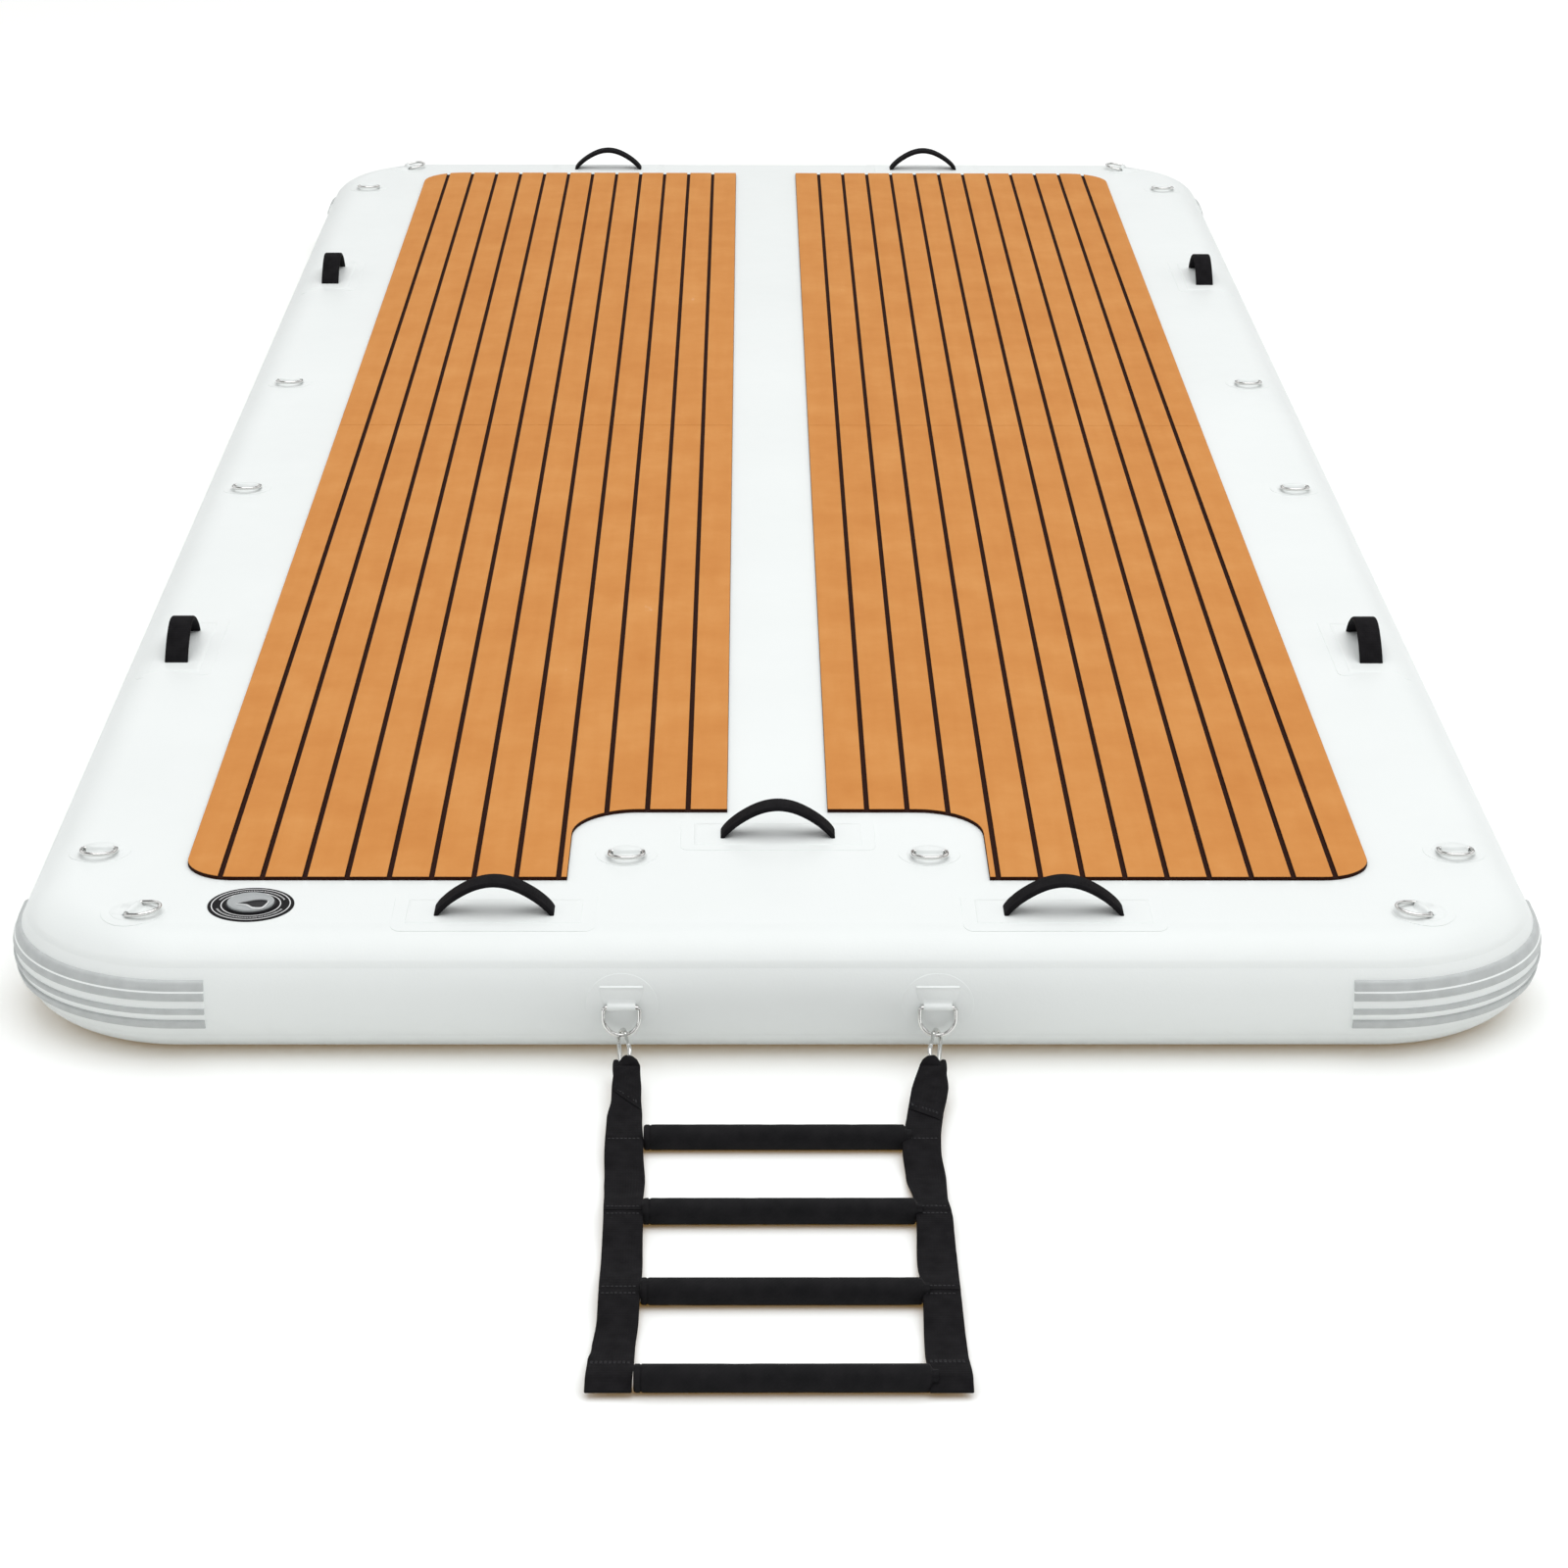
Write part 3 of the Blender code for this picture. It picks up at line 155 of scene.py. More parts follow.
def loft(bm, rings, closed=False, caps=True, slot=0):
    """Skin rings of points with quads; the map holds metres round and along the loft."""
    rows = [[bm.verts.new(point) for point in ring] for ring in rings]
    sheet = bm.loops.layers.uv.get("metres") or bm.loops.layers.uv.new("metres")
    centres = [sum((Vector(p) for p in ring), Vector()) / len(ring) for ring in rings]
    along = [0.0]
    for start, end in zip(centres, centres[1:] + centres[:1]):
        along.append(along[-1] + (end - start).length)
    widest = max(rings, key=lambda ring: (Vector(ring[0]) - Vector(ring[len(ring) // 2])).length)
    around = [0.0]
    for start, end in zip(widest, list(widest[1:]) + [widest[0]]):
        around.append(around[-1] + (Vector(end) - Vector(start)).length)
    for i, low in enumerate(rows if closed else rows[:-1]):
        high = rows[(i + 1) % len(rows)]
        for k in range(len(low)):
            n = (k + 1) % len(low)
            face = bm.faces.new((low[k], low[n], high[n], high[k]))
            face.material_index = slot
            for corner, u, v in zip(face.loops, (k, k + 1, k + 1, k), (i, i, i + 1, i + 1)):
                corner[sheet].uv = (around[u], along[v])
    if caps and not closed:
        for row in (rows[0], rows[-1]):
            bm.faces.new(row).material_index = slot
    return rows


def new_piece(name, bm, *materials, sharp=None):
    """Turn a finished mesh into a smooth-shaded object, with edges past the sharp angle kept."""
    bmesh.ops.recalc_face_normals(bm, faces=bm.faces)
    mesh = bpy.data.meshes.new(name)
    bm.to_mesh(mesh)
    bm.free()
    for material in materials:
        mesh.materials.append(material)
    mesh.polygons.foreach_set("use_smooth", [True] * len(mesh.polygons))
    if sharp is not None:
        mesh.set_sharp_from_angle(angle=math.radians(sharp))
    piece = bpy.data.objects.new(name, mesh)
    scene.collection.objects.link(piece)
    return piece


def fix(piece, body, slot, *nodes):
    """Fix a piece to its body and hide the solids that it stands for; the finish that it is given is not
    used.
    """
    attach(piece, body)
    if nodes:
        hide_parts(*nodes)
    return piece


def spoke(share, radius=1.0, z=0.0):
    """Point beside an upright axis, by its share of a whole turn."""
    turn = 2 * math.pi * share
    return Vector((radius * math.cos(turn), radius * math.sin(turn), z))


def circle(centre, side, up, radius, count):
    """Points once round a circle that side and up span."""
    turns = [2 * math.pi * k / count for k in range(count)]
    return [centre + (side * math.cos(turn) + up * math.sin(turn)) * radius for turn in turns]


def hull_corner(quarter):
    """Middle of a corner's arc in plan; the quarters run anticlockwise from the rear right."""
    sx, sy = QUARTERS[quarter]
    return Vector((sx * (FLAT_X - FLAT_CORNER), sy * (FLAT_Y - FLAT_CORNER), 0))


def hull_outline(turn_steps=24, side_steps=12):
    """Edge of the flat deck, anticlockwise from above, as pairs of a point and its outward way."""
    outline = []
    for quarter in range(4):
        corner = hull_corner(quarter)
        for k in range(turn_steps + 1):
            way = spoke((quarter + k / turn_steps) / 4)
            outline.append((corner + way * FLAT_CORNER, way))
        start = outline[-1][0]
        side = Vector((-way.y, way.x, 0)) * 2 * abs(corner.y if quarter % 2 else corner.x)
        outline += [(start + side * k / side_steps, way) for k in range(1, side_steps)]
    return outline


def hull_ring(outline, elevation, radius):
    """Loop round the rail at one elevation, in degrees above its mid height."""
    angle = math.radians(elevation)
    reach, height = radius * math.cos(angle), MID_HEIGHT + radius * math.sin(angle)
    return [edge + way * reach + UP * height for edge, way in outline]


# Polyester cloth, woven and unbleached: matt, with threads that show up close. Threads of
# 0.5 mm, drawn 3 to 8 mm apart.
core_cloth = grained("woven_polyester_core", 500.0, 0.0004, Base_Color=linear("#DDDCD4"), Roughness=0.85)

outline = hull_outline()
bm = bmesh.new()
for high in (CORE_TOP, 2 * MID_HEIGHT - CORE_TOP + CORE_CLOTH):
    loft(bm, [[edge + UP * z for edge, way in outline] for z in (high - CORE_CLOTH, high)])
half_height = CORE_TOP - CORE_CLOTH / 2 - MID_HEIGHT
for x in BUNDLE_PLACES_X:
    for row in range(BUNDLE_ROWS):
        y = BUNDLE_REACH * (2 * row / (BUNDLE_ROWS - 1) - 1)
        rings = []
        for k in range(BUNDLE_STEPS + 1):
            share = k / BUNDLE_STEPS
            radius = BUNDLE_RADIUS * (1 - (1 - BUNDLE_WAIST) * math.sin(math.pi * share))
            middle = Vector((x, y, MID_HEIGHT + half_height * (2 * share - 1)))
            rings.append(circle(middle, ACROSS, AHEAD, radius, BUNDLE_SIDES))
        loft(bm, rings)
fix(new_piece("core", bm, core_cloth, sharp=40), "platform", "core_fabric", "drop_stitch_core")


# The hull is PVC-coated polyester, glued into an airtight box: a strip round the side, and a
# top and a bottom skin that lap over it. The lap's edge shows as a step round the rail.
RAIL = 0.075
SKIN = 0.0012
WALL_RADIUS = 0.0736
STRIP_END, STRIP_STEP = 52, 4
LAP_END, LAP_STEPS = 35, 14
LAP_SINK = 0.0003
# Degrees past the lap's edge, and how far the skin stands off the side strip there
LAP_EDGE = ((0, 0.0001), (1.5, 0.0004), (3.5, 0.0009), (6, RAIL - WALL_RADIUS))

# Calendered PVC: smooth and a little glossy, with the cloth under it as a faint dimpling and
# broad soft waves where the yarns pull. Threads of 1 mm, drawn at 2.5 mm.
white_pvc = new_material("calendered_white_pvc", Roughness=0.38, IOR=1.53, Specular_IOR_Level=0.35)
place = own_place(white_pvc)
tone(white_pvc, mottle(white_pvc, 2.2, 3.0, Vector=place), (0.3, "#E7EBEA"), (0.7, "#EBEFEE"))
scuff = mottle(white_pvc, 35.0, 6.0, Vector=place)
gloss = add_node(white_pvc, "ShaderNodeMapRange",
                 {"Value": scuff, "From Min": 0.3, "From Max": 0.7, "To Min": 0.34, "To Max": 0.44})
join(white_pvc, gloss.outputs["Result"], "Roughness")
broad = relief(white_pvc, mottle(white_pvc, 5.0, 1.0, Vector=place), 0.004, Strength=0.35)
relief(white_pvc, mottle(white_pvc, 400.0, 1.0, Vector=place), 0.0002, Strength=0.5, Normal=broad)

elevations = range(STRIP_END, -STRIP_END - 1, -STRIP_STEP)
rings = [hull_ring(outline, e, WALL_RADIUS) for e in elevations]
rings += [hull_ring(outline, e, WALL_RADIUS - SKIN) for e in reversed(elevations)]
bm = bmesh.new()
loft(bm, rings, closed=True)
fix(new_piece("side_strip", bm, white_pvc, sharp=50), "platform", "white_pvc", "side_wall")

elevations = [LAP_END + (90 - LAP_END) * k / LAP_STEPS for k in range(LAP_STEPS + 1)]
for name, node, up in (("upper_hull", "top_skin", 1), ("lower_hull", "bottom_skin", -1)):
    rings = [hull_ring(outline, up * e, WALL_RADIUS - LAP_SINK) for e in reversed(elevations)]
    rings += [hull_ring(outline, up * (LAP_END + e), WALL_RADIUS + rise) for e, rise in LAP_EDGE]
    rings += [hull_ring(outline, up * e, RAIL) for e in elevations[2:]]
    bm = bmesh.new()
    loft(bm, rings)
    fix(new_piece(name, bm, white_pvc, sharp=50), "platform", "white_pvc", node)


# A rubbing strake guards each corner: a strip of grey PVC moulded with ribs, glued round the
# corner. Its valleys are the paler base, and the ledge that splits the top rib is painted pale as a
# highlight.
SUNK = 0.0002
# Height above the rail's middle and distance off the wall, from the top edge down
STRAKE_LINE = (
    (0.03025, 0.0006), (0.0299, 0.0022), (0.029, 0.0036), (0.0275, 0.0042), (0.02, 0.0042), (0.019, 0.004),
    (0.0174, 0.0050), (0.0164, 0.0053), (0.009, 0.0053), (0.0078, 0.0044), (0.0072, 0.0026), (0.007, 0.002),
    (-0.0018, 0.002), (-0.002, 0.0026), (-0.0026, 0.0042), (-0.0036, 0.0049), (-0.006, 0.005),
    (-0.0084, 0.0049), (-0.0094, 0.0042), (-0.01, 0.0026), (-0.0102, 0.002), (-0.0174, 0.002),
    (-0.0176, 0.0026), (-0.0184, 0.0044), (-0.0196, 0.005), (-0.0278, 0.005), (-0.029, 0.0042),
    (-0.0297, 0.0028), (-0.03025, 0.0006),
)
# Pale bands: the valleys' own paler base, and the ledge from 0.0174 to 0.019 painted pale as a highlight
STRAKE_PALE_AND_HIGHLIGHT = ((0.0174, 0.019), (-0.0019, 0.0071), (-0.0175, -0.0101))
STRAKE_TURN_STEPS = 40
STRAKE_STRAIGHT = 0.034
STRAKE_TIP, STRAKE_TIP_THIN = 0.0012, 0.7

# Moulded PVC, dull from the mould: satin, with faint flow streaks.
grey_pvc = grained("moulded_grey_pvc", 60.0, 0.0003, 3.0, placed=True, Roughness=0.48, IOR=1.53,
                   tints=((0.3, "#B4B8B8"), (0.7, "#BEC2C2")))
pale_pvc = grained("moulded_pale_pvc", 60.0, 0.0003, 3.0, placed=True, Roughness=0.48, IOR=1.53,
                   Base_Color=linear("#F2F6F5"))

stations = [(0, -STRAKE_STRAIGHT - STRAKE_TIP, STRAKE_TIP_THIN), (0, -STRAKE_STRAIGHT, 1)]
stations += [(k / STRAKE_TURN_STEPS, 0, 1) for k in range(STRAKE_TURN_STEPS + 1)]
stations += [(1, STRAKE_STRAIGHT, 1), (1, STRAKE_STRAIGHT + STRAKE_TIP, STRAKE_TIP_THIN)]
for quarter, name in enumerate(("rear_right", "rear_left", "front_left", "front_right")):
    rings = []
    for share, straight, thin in stations:
        way = spoke((quarter + share) / 4)
        foot = hull_corner(quarter) + way * FLAT_CORNER + Vector((-way.y, way.x, 0)) * straight
        line = [(z, rise * thin) for z, rise in STRAKE_LINE] + [(z, -SUNK) for z, rise in STRAKE_LINE[::-1]]
        rings.append([foot + way * (math.sqrt(WALL_RADIUS ** 2 - z * z) + rise) + UP * (MID_HEIGHT + z)
                      for z, rise in line])
    bm = bmesh.new()
    loft(bm, rings)
    # Faces in the pale bands take the pale PVC: the valleys' own colour, and on the ledge a painted
    # highlight.
    for face in bm.faces:
        height = face.calc_center_median().z - MID_HEIGHT
        face.material_index = int(any(low < height < high for low, high in STRAKE_PALE_AND_HIGHLIGHT))
    fix(new_piece("rubbing_strake_" + name, bm, grey_pvc, pale_pvc, sharp=60), "platform", "grey_strake",
        "strake_" + name)


# The deck is two-layer EVA foam glued to the top skin, two sheets a side. Grooves routed
# through the teak-coloured top layer, down to the dark one, make its planks.
PAD_LOW = 0.1503
PAD_TOP = 0.1553
GROOVE_FLOOR = 0.1522
GROOVE_WIDTH = 0.0056
GROOVE_FIRST = 0.1115
GROOVE_PITCH = 0.050545
GROOVES = 12
PLANK_ROUND = 0.0007
LAYER_INSET = 0.0004
LAYER_LAP = 0.0002
UNDER_ROUND = 0.0002
PAD_IN, PAD_OUT = 0.0625, 0.7135
PAD_FRONT, PAD_SEAM, PAD_REAR = -1.934, 0.03, 1.966
SEAM_HALF = 0.0003
NOTCH_X, NOTCH_Y, NOTCH_ROUND = 0.253, -1.712, 0.08
FRONT_ROUND, REAR_ROUND = 0.06, 0.08
ROUND_STEPS = 12

# Closed-cell EVA foam, brushed to look like oiled teak: matt and nearly one colour, with cloudy
# rubbed patches and a fine cell grain. Cells of 0.3 mm, drawn at 1.5 mm.
teak_foam = new_material("brushed_teak_foam", Roughness=0.8, IOR=1.48, Specular_IOR_Level=0.45)
place = own_place(teak_foam)
clouds = mottle(teak_foam, 9.0, 5.0, Vector=place, Roughness=0.6)
long_way = add_node(teak_foam, "ShaderNodeMapping", {"Vector": place, "Scale": (60.0, 5.0, 60.0)})
streaks = mottle(teak_foam, 1.0, 4.0, Vector=long_way.outputs["Vector"])
blend = add_node(teak_foam, "ShaderNodeMix", {"Factor": 0.25, "A": clouds, "B": streaks})
tone(teak_foam, blend.outputs["Result"],
     (0.3, "#C67E34"), (0.5, "#CC863D"), (0.7, "#D28F48"), (1.0, "#FFFFFF"))
cells = relief(teak_foam, mottle(teak_foam, 650.0, Vector=place), 0.0003, Strength=0.5)
relief(teak_foam, streaks, 0.0004, Strength=0.2, Normal=cells)
# The same foam in the dark colour of the lower layer; the planks' cut sides take it too, as painted shade in
# the grooves and along the edges.
dark_foam = grained("dark_brown_foam", 650.0, 0.0003, placed=True, Base_Color=linear("#2C1005"),
                    Roughness=0.85, IOR=1.48, Specular_IOR_Level=0.15)


def arc(x, y, radius, start, end, steps=ROUND_STEPS):
    """Points of an arc in plan, from one angle to another, in degrees."""
    angles = [math.radians(start + (end - start) * k / steps) for k in range(steps + 1)]
    return [(x + radius * math.cos(a), y + radius * math.sin(a)) for a in angles]


def slice_line(line, low, high):
    """The part of a line between two x, with a new point at each end."""
    def at(x):
        for (x0, y0), (x1, y1) in zip(line, line[1:]):
            if x0 <= x <= x1 and x1 > x0:
                return (x, y0 + (y1 - y0) * (x - x0) / (x1 - x0))
        return (x, line[-1][1])
    return [at(low)] + [point for point in line if low + 1e-5 < point[0] < high - 1e-5] + [at(high)]


def inset(points, distance):
    """Draw a plan outline in by a distance, with mitred corners."""
    drawn = []
    for k, point in enumerate(points):
        before, here, after = (Vector(p) for p in (points[k - 1], point, points[(k + 1) % len(points)]))
        first = (here - before).normalized()
        second = (after - here).normalized()
        inward = (Vector((-first.y, first.x)) + Vector((-second.y, second.x))).normalized()
        drawn.append(here + inward * distance / max(inward.dot(Vector((-first.y, first.x))), 0.5))
    return drawn


front_line = [(PAD_IN, NOTCH_Y)] + arc(NOTCH_X - NOTCH_ROUND, NOTCH_Y - NOTCH_ROUND, NOTCH_ROUND, 90, 0)
front_line += [(NOTCH_X, PAD_FRONT)]
front_line += arc(PAD_OUT - FRONT_ROUND, PAD_FRONT + FRONT_ROUND, FRONT_ROUND, -90, 0)
rear_line = [(PAD_IN, PAD_REAR)] + arc(PAD_OUT - REAR_ROUND, PAD_REAR - REAR_ROUND, REAR_ROUND, 90, 0)
seam_low = [(PAD_IN, PAD_SEAM - SEAM_HALF), (PAD_OUT, PAD_SEAM - SEAM_HALF)]
seam_high = [(PAD_IN, PAD_SEAM + SEAM_HALF), (PAD_OUT, PAD_SEAM + SEAM_HALF)]
edges = [PAD_IN]
for k in range(GROOVES):
    centre = GROOVE_FIRST + GROOVE_PITCH * k
    edges += [centre - GROOVE_WIDTH / 2, centre + GROOVE_WIDTH / 2]
edges.append(PAD_OUT)
strips = [(PAD_IN, PAD_OUT, PAD_LOW, GROOVE_FLOOR, 0.0, UNDER_ROUND)]
strips += [(low, high, GROOVE_FLOOR - LAYER_LAP, PAD_TOP, LAYER_INSET, PLANK_ROUND)
           for low, high in zip(edges[::2], edges[1::2])]
for side, sign in (("left", -1), ("right", 1)):
    for part, low_line, high_line in (("front", front_line, seam_low), ("rear", seam_high, rear_line)):
        bm = bmesh.new()
        for low, high, floor, top, drawn_in, round_off in strips:
            plan = slice_line(low_line, low, high) + slice_line(high_line, low, high)[::-1]
            section = ((drawn_in, floor), (drawn_in, top - round_off),
                       (drawn_in + round_off * 0.3, top - round_off * 0.3), (drawn_in + round_off, top))
            loft(bm, [[Vector((sign * p.x, p.y, z)) for p in inset(plan, distance)]
                      for distance, z in section])
        # Faces below the planks' rounded top edge take the dark foam: the lower layer's own colour, and on
        # the planks' cut sides painted shade.
        for face in bm.faces:
            face.material_index = int(face.calc_center_median().z < PAD_TOP - PLANK_ROUND)
        pad = new_piece("deck_foam_%s_%s" % (part, side), bm, teak_foam, dark_foam, sharp=20)
        fix(pad, "platform", "teak_foam", "deck_pad_%s_%s" % (part, side))


# Each D-ring is held by a round PVC patch, in two layers, and a strip folded over its bar. The
# patches are welded to the hull and follow it where they reach over the rail.
STRIP_THICK = 0.0011
STRIP_HEM, STRIP_HEM_THIN = 0.0005, 0.6
# Radius, and height over the skin, from a patch's edge in
PATCH_LINE = ((0.038, -0.0002), (0.038, 0.0003), (0.0376, 0.0006), (0.034, 0.0006), (0.031, 0.0006),
              (0.0273, 0.0006), (0.027, 0.0009), (0.0266, 0.0011), (0.019, 0.0011), (0.008, 0.0011))
RINGS = {
    "left_front": (-0.825, -1.84, 0), "left_midfront": (-0.825, -0.313, 0),
    "left_midrear": (-0.825, 0.313, 0), "left_rear": (-0.825, 1.84, 0),
    "right_front": (0.825, -1.84, 0), "right_midfront": (0.825, -0.313, 0),
    "right_midrear": (0.825, 0.313, 0), "right_rear": (0.825, 1.84, 0),
    "corner_front_left": (-0.758, -2.03, 72.5), "corner_rear_left": (-0.758, 2.03, 107.5),
    "corner_front_right": (0.758, -2.03, -72.5), "corner_rear_right": (0.758, 2.03, -107.5),
    "step_left": (-0.184, -1.85, 0), "step_right": (0.184, -1.85, 0),
}
HOOD_HALF = 0.0165
# Distance across the bar, and height over the skin
HOOD_LINE = ((-0.0086, 0.0009), (-0.0062, 0.0016), (-0.0047, 0.0034), (-0.0037, 0.0056), (-0.002, 0.0072),
             (0.0, 0.0077), (0.002, 0.0072), (0.0037, 0.0056), (0.0047, 0.0034), (0.0062, 0.0018),
             (0.009, 0.0014), (0.016, 0.00125), (0.019, 0.00115), (0.0205, 0.0009))


def rotation(degrees, axis):
    """Turn round one of the axes."""
    return Matrix.Rotation(math.radians(degrees), 4, axis)


def skin_point(x, y, lift=0.0):
    """Place a flat pattern's point on the hull: on the deck, or wrapped round the rail past it."""
    past = Vector((max(abs(x) - FLAT_X + FLAT_CORNER, 0), max(abs(y) - FLAT_Y + FLAT_CORNER, 0)))
    beyond = past.length - FLAT_CORNER
    if beyond <= 0:
        return Vector((x, y, 2 * MID_HEIGHT + lift))
    way = Vector((math.copysign(past.x, x), math.copysign(past.y, y), 0)).normalized()
    angle = beyond / RAIL
    reach = (RAIL + lift) * math.sin(angle) - beyond
    return Vector((x, y, MID_HEIGHT + (RAIL + lift) * math.cos(angle))) + way * reach


def round_patch(bm, place, line, steps, tall=1.0, raised=0.0):
    """Weld on a patch; place sets a flat pattern's point on the hull, with its lift."""
    rings = []
    for radius, lift in line:
        points = [spoke(k / steps, radius) for k in range(steps)]
        rings.append([place(p.x, raised + p.y * tall, lift) for p in points])
    loft(bm, rings)


def hood(bm, place, half, line, thickness):
    """Strip folded over a bar: line runs across the bar, place sets a point on the hull."""
    under = []
    for k, (y, z) in enumerate(line):
        before, after = Vector(line[max(k - 1, 0)]), Vector(line[min(k + 1, len(line) - 1)])
        way = (after - before).normalized()
        under.append((y + way.y * thickness, max(z - way.x * thickness, -SUNK)))
    rings = []
    for x, thin in ((-half, STRIP_HEM_THIN), (STRIP_HEM - half, 1), (0, 1), (half - STRIP_HEM, 1),
                    (half, STRIP_HEM_THIN)):
        top = [Vector(low).lerp(Vector(high), thin) for low, high in zip(under, line)]
        rings.append([place(x, y, z) for y, z in top] + [place(x, y, z) for y, z in reversed(under)])
    loft(bm, rings)


def deck_place(x, y, turn):
    """Return a function that lays a pattern round a point of the deck, turned by some degrees."""
    angle = math.radians(turn)
    def place(u, v, lift):
        return skin_point(x + u * math.cos(angle) - v * math.sin(angle),
                          y + u * math.sin(angle) + v * math.cos(angle), lift)
    return place


for name, (x, y, turn) in RINGS.items():
    bm = bmesh.new()
    round_patch(bm, deck_place(x, y, turn), PATCH_LINE, 48)
    fix(new_piece("ring_patch_" + name, bm, white_pvc, sharp=35), "platform", "white_pvc")
    bm = bmesh.new()
    flat = Matrix.Translation((x, y, 2 * MID_HEIGHT)) @ rotation(turn, "Z")
    hood(bm, lambda u, v, lift: flat @ Vector((u, v, lift)), HOOD_HALF, HOOD_LINE, STRIP_THICK)
    fix(new_piece("ring_strip_" + name, bm, white_pvc, sharp=60), "platform", "white_pvc")


# Sixteen D-rings of 5 mm stainless rod, bent round and butt-welded, then polished. Those on the
# deck lie down, held a little off it by their strips.
WIRE = 0.0025
BAR_LIFT = 0.0038
RING_HALF = 0.021
RING_CORNER = 0.004
RING_LEG = 0.0125
RING_RAISE = 8
WALL_RING_RAISE = 6
WALL_RINGS = {"left": -0.183, "right": 0.183}
WALL_RING_Y, WALL_RING_Z = -2.1376, 0.075

# Polished stainless steel: a warm grey metal whose fine drawing marks soften what it mirrors.
# Marks of 0.1 mm, drawn at 1 mm.
stainless = new_material("polished_stainless_rod", Base_Color=linear("#DCDCDA"), Metallic=1.0, Roughness=0.1)
marks = mottle(stainless, 900.0, 3.0, Vector=own_place(stainless))
polish = add_node(stainless, "ShaderNodeMapRange", {"Value": marks, "To Min": 0.05, "To Max": 0.15})
join(stainless, polish.outputs["Result"], "Roughness")
relief(stainless, marks, 0.0001)


def wire(bm, path, normal, radius, sides=14, closed=False, slot=0):
    """Round wire along a flat path, with radii that may differ from point to point."""
    radii = radius if isinstance(radius, (list, tuple)) else [radius] * len(path)
    rings = []
    for k, point in enumerate(path):
        before = path[k - 1] if closed or k > 0 else point
        after = path[(k + 1) % len(path)] if closed or k < len(path) - 1 else point
        out = (after - before).normalized().cross(normal).normalized()
        rings.append(circle(point, out, normal, radii[k], sides))
    return loft(bm, rings, closed=closed, slot=slot)


def ring_line():
    """Centreline of a D-ring, from one end of its bar round the bow."""
    bar = RING_HALF - RING_CORNER
    line = [(-bar, 0), (-bar / 2, 0), (0, 0), (bar / 2, 0)]
    line += arc(bar, RING_CORNER, RING_CORNER, -90, 0, 6)
    line += arc(0, RING_LEG, RING_HALF, 0, 180, 36)
    line += arc(-bar, RING_CORNER, RING_CORNER, 180, 264, 6)
    return [Vector((x, y, 0)) for x, y in line]


ring_places = {}
for name, (x, y, turn) in RINGS.items():
    ring_places[name] = (Matrix.Translation((x, y, 2 * MID_HEIGHT + BAR_LIFT)) @ rotation(turn + 180, "Z")
                         @ rotation(RING_RAISE, "X"))
for side, x in WALL_RINGS.items():
    ring_places["ladder_" + side] = (Matrix.Translation((x, WALL_RING_Y, WALL_RING_Z))
                                     @ rotation(-90 - WALL_RING_RAISE, "X"))
for name, place in ring_places.items():
    bm = bmesh.new()
    wire(bm, ring_line(), UP, WIRE, closed=True)
    ring = new_piece("d_ring_" + name, bm, stainless)
    ring.matrix_world = place
    fix(ring, "dring_" + name, "stainless", "dring_" + name)


# The two rings that carry the ladder sit on the front wall. Each has a larger round patch, and
# a wide tab above its bar whose lower edge is rolled round the bar.
WALL_PATCH_LINE = ((0.042, -0.0002), (0.042, 0.0003), (0.0416, 0.0007), (0.038, 0.0007), (0.03, 0.0007),
                   (0.022, 0.0007), (0.014, 0.0007), (0.006, 0.0007))
WALL_PATCH_TALL = 0.88
WALL_PATCH_UP = 0.002
TAB_LOW, TAB_TOP, TAB_STEPS = 0.003, 0.0245, 12
TAB_HALF, TAB_TAPER, TAB_ROUND = 0.025, 0.006, 0.0006
TAB_THICK = 0.0019
# The bead of glue along the tab's top, by step
TAB_BEAD = {11: 0.0027, 12: 0.001}
ROLL_HALF = 0.0165
ROLL_THICK = 0.0009
ROLL_LINE = ((-0.003, 0.0012), (-0.0037, 0.0026), (-0.0038, 0.0042), (-0.003, 0.0062), (-0.0015, 0.0074),
             (0.0, 0.0078), (0.0015, 0.0074), (0.003, 0.0062), (0.0037, 0.0046), (0.0042, 0.0032),
             (0.0055, 0.0024), (0.0085, 0.0021))


def wall_place(x):
    """Return a function that lays a pattern on the front wall, its second way up the wall."""
    def place(u, v, lift):
        radius = WALL_RADIUS + lift
        angle = v / WALL_RADIUS
        return Vector((x + u, -FLAT_Y - radius * math.cos(angle), MID_HEIGHT + radius * math.sin(angle)))
    return place


for side, x in WALL_RINGS.items():
    place = wall_place(x)
    bm = bmesh.new()
    round_patch(bm, place, WALL_PATCH_LINE, 64, WALL_PATCH_TALL, WALL_PATCH_UP)
    fix(new_piece("ladder_patch_" + side, bm, white_pvc, sharp=35), "platform", "white_pvc",
        "ladder_ring_patch_" + side)
    rings = []
    for step in range(TAB_STEPS + 1):
        share = step / TAB_STEPS
        v = TAB_LOW + (TAB_TOP - TAB_LOW) * share
        half = TAB_HALF - TAB_TAPER * (1 - share) ** 2
        lift = TAB_BEAD.get(step, TAB_THICK)
        edge = [(half, SUNK), (half, lift - 0.0004), (half - TAB_ROUND, lift)]
        line = [(-u, rise) for u, rise in edge] + [(0, lift)] + edge[::-1]
        rings.append([place(u, v, rise) for u, rise in line])
    bm = bmesh.new()
    loft(bm, rings)
    fix(new_piece("ladder_tab_" + side, bm, white_pvc, sharp=50), "platform", "white_pvc")
    bm = bmesh.new()
    hood(bm, place, ROLL_HALF, ROLL_LINE, ROLL_THICK)
    fix(new_piece("ladder_roll_" + side, bm, white_pvc, sharp=60), "platform", "white_pvc")


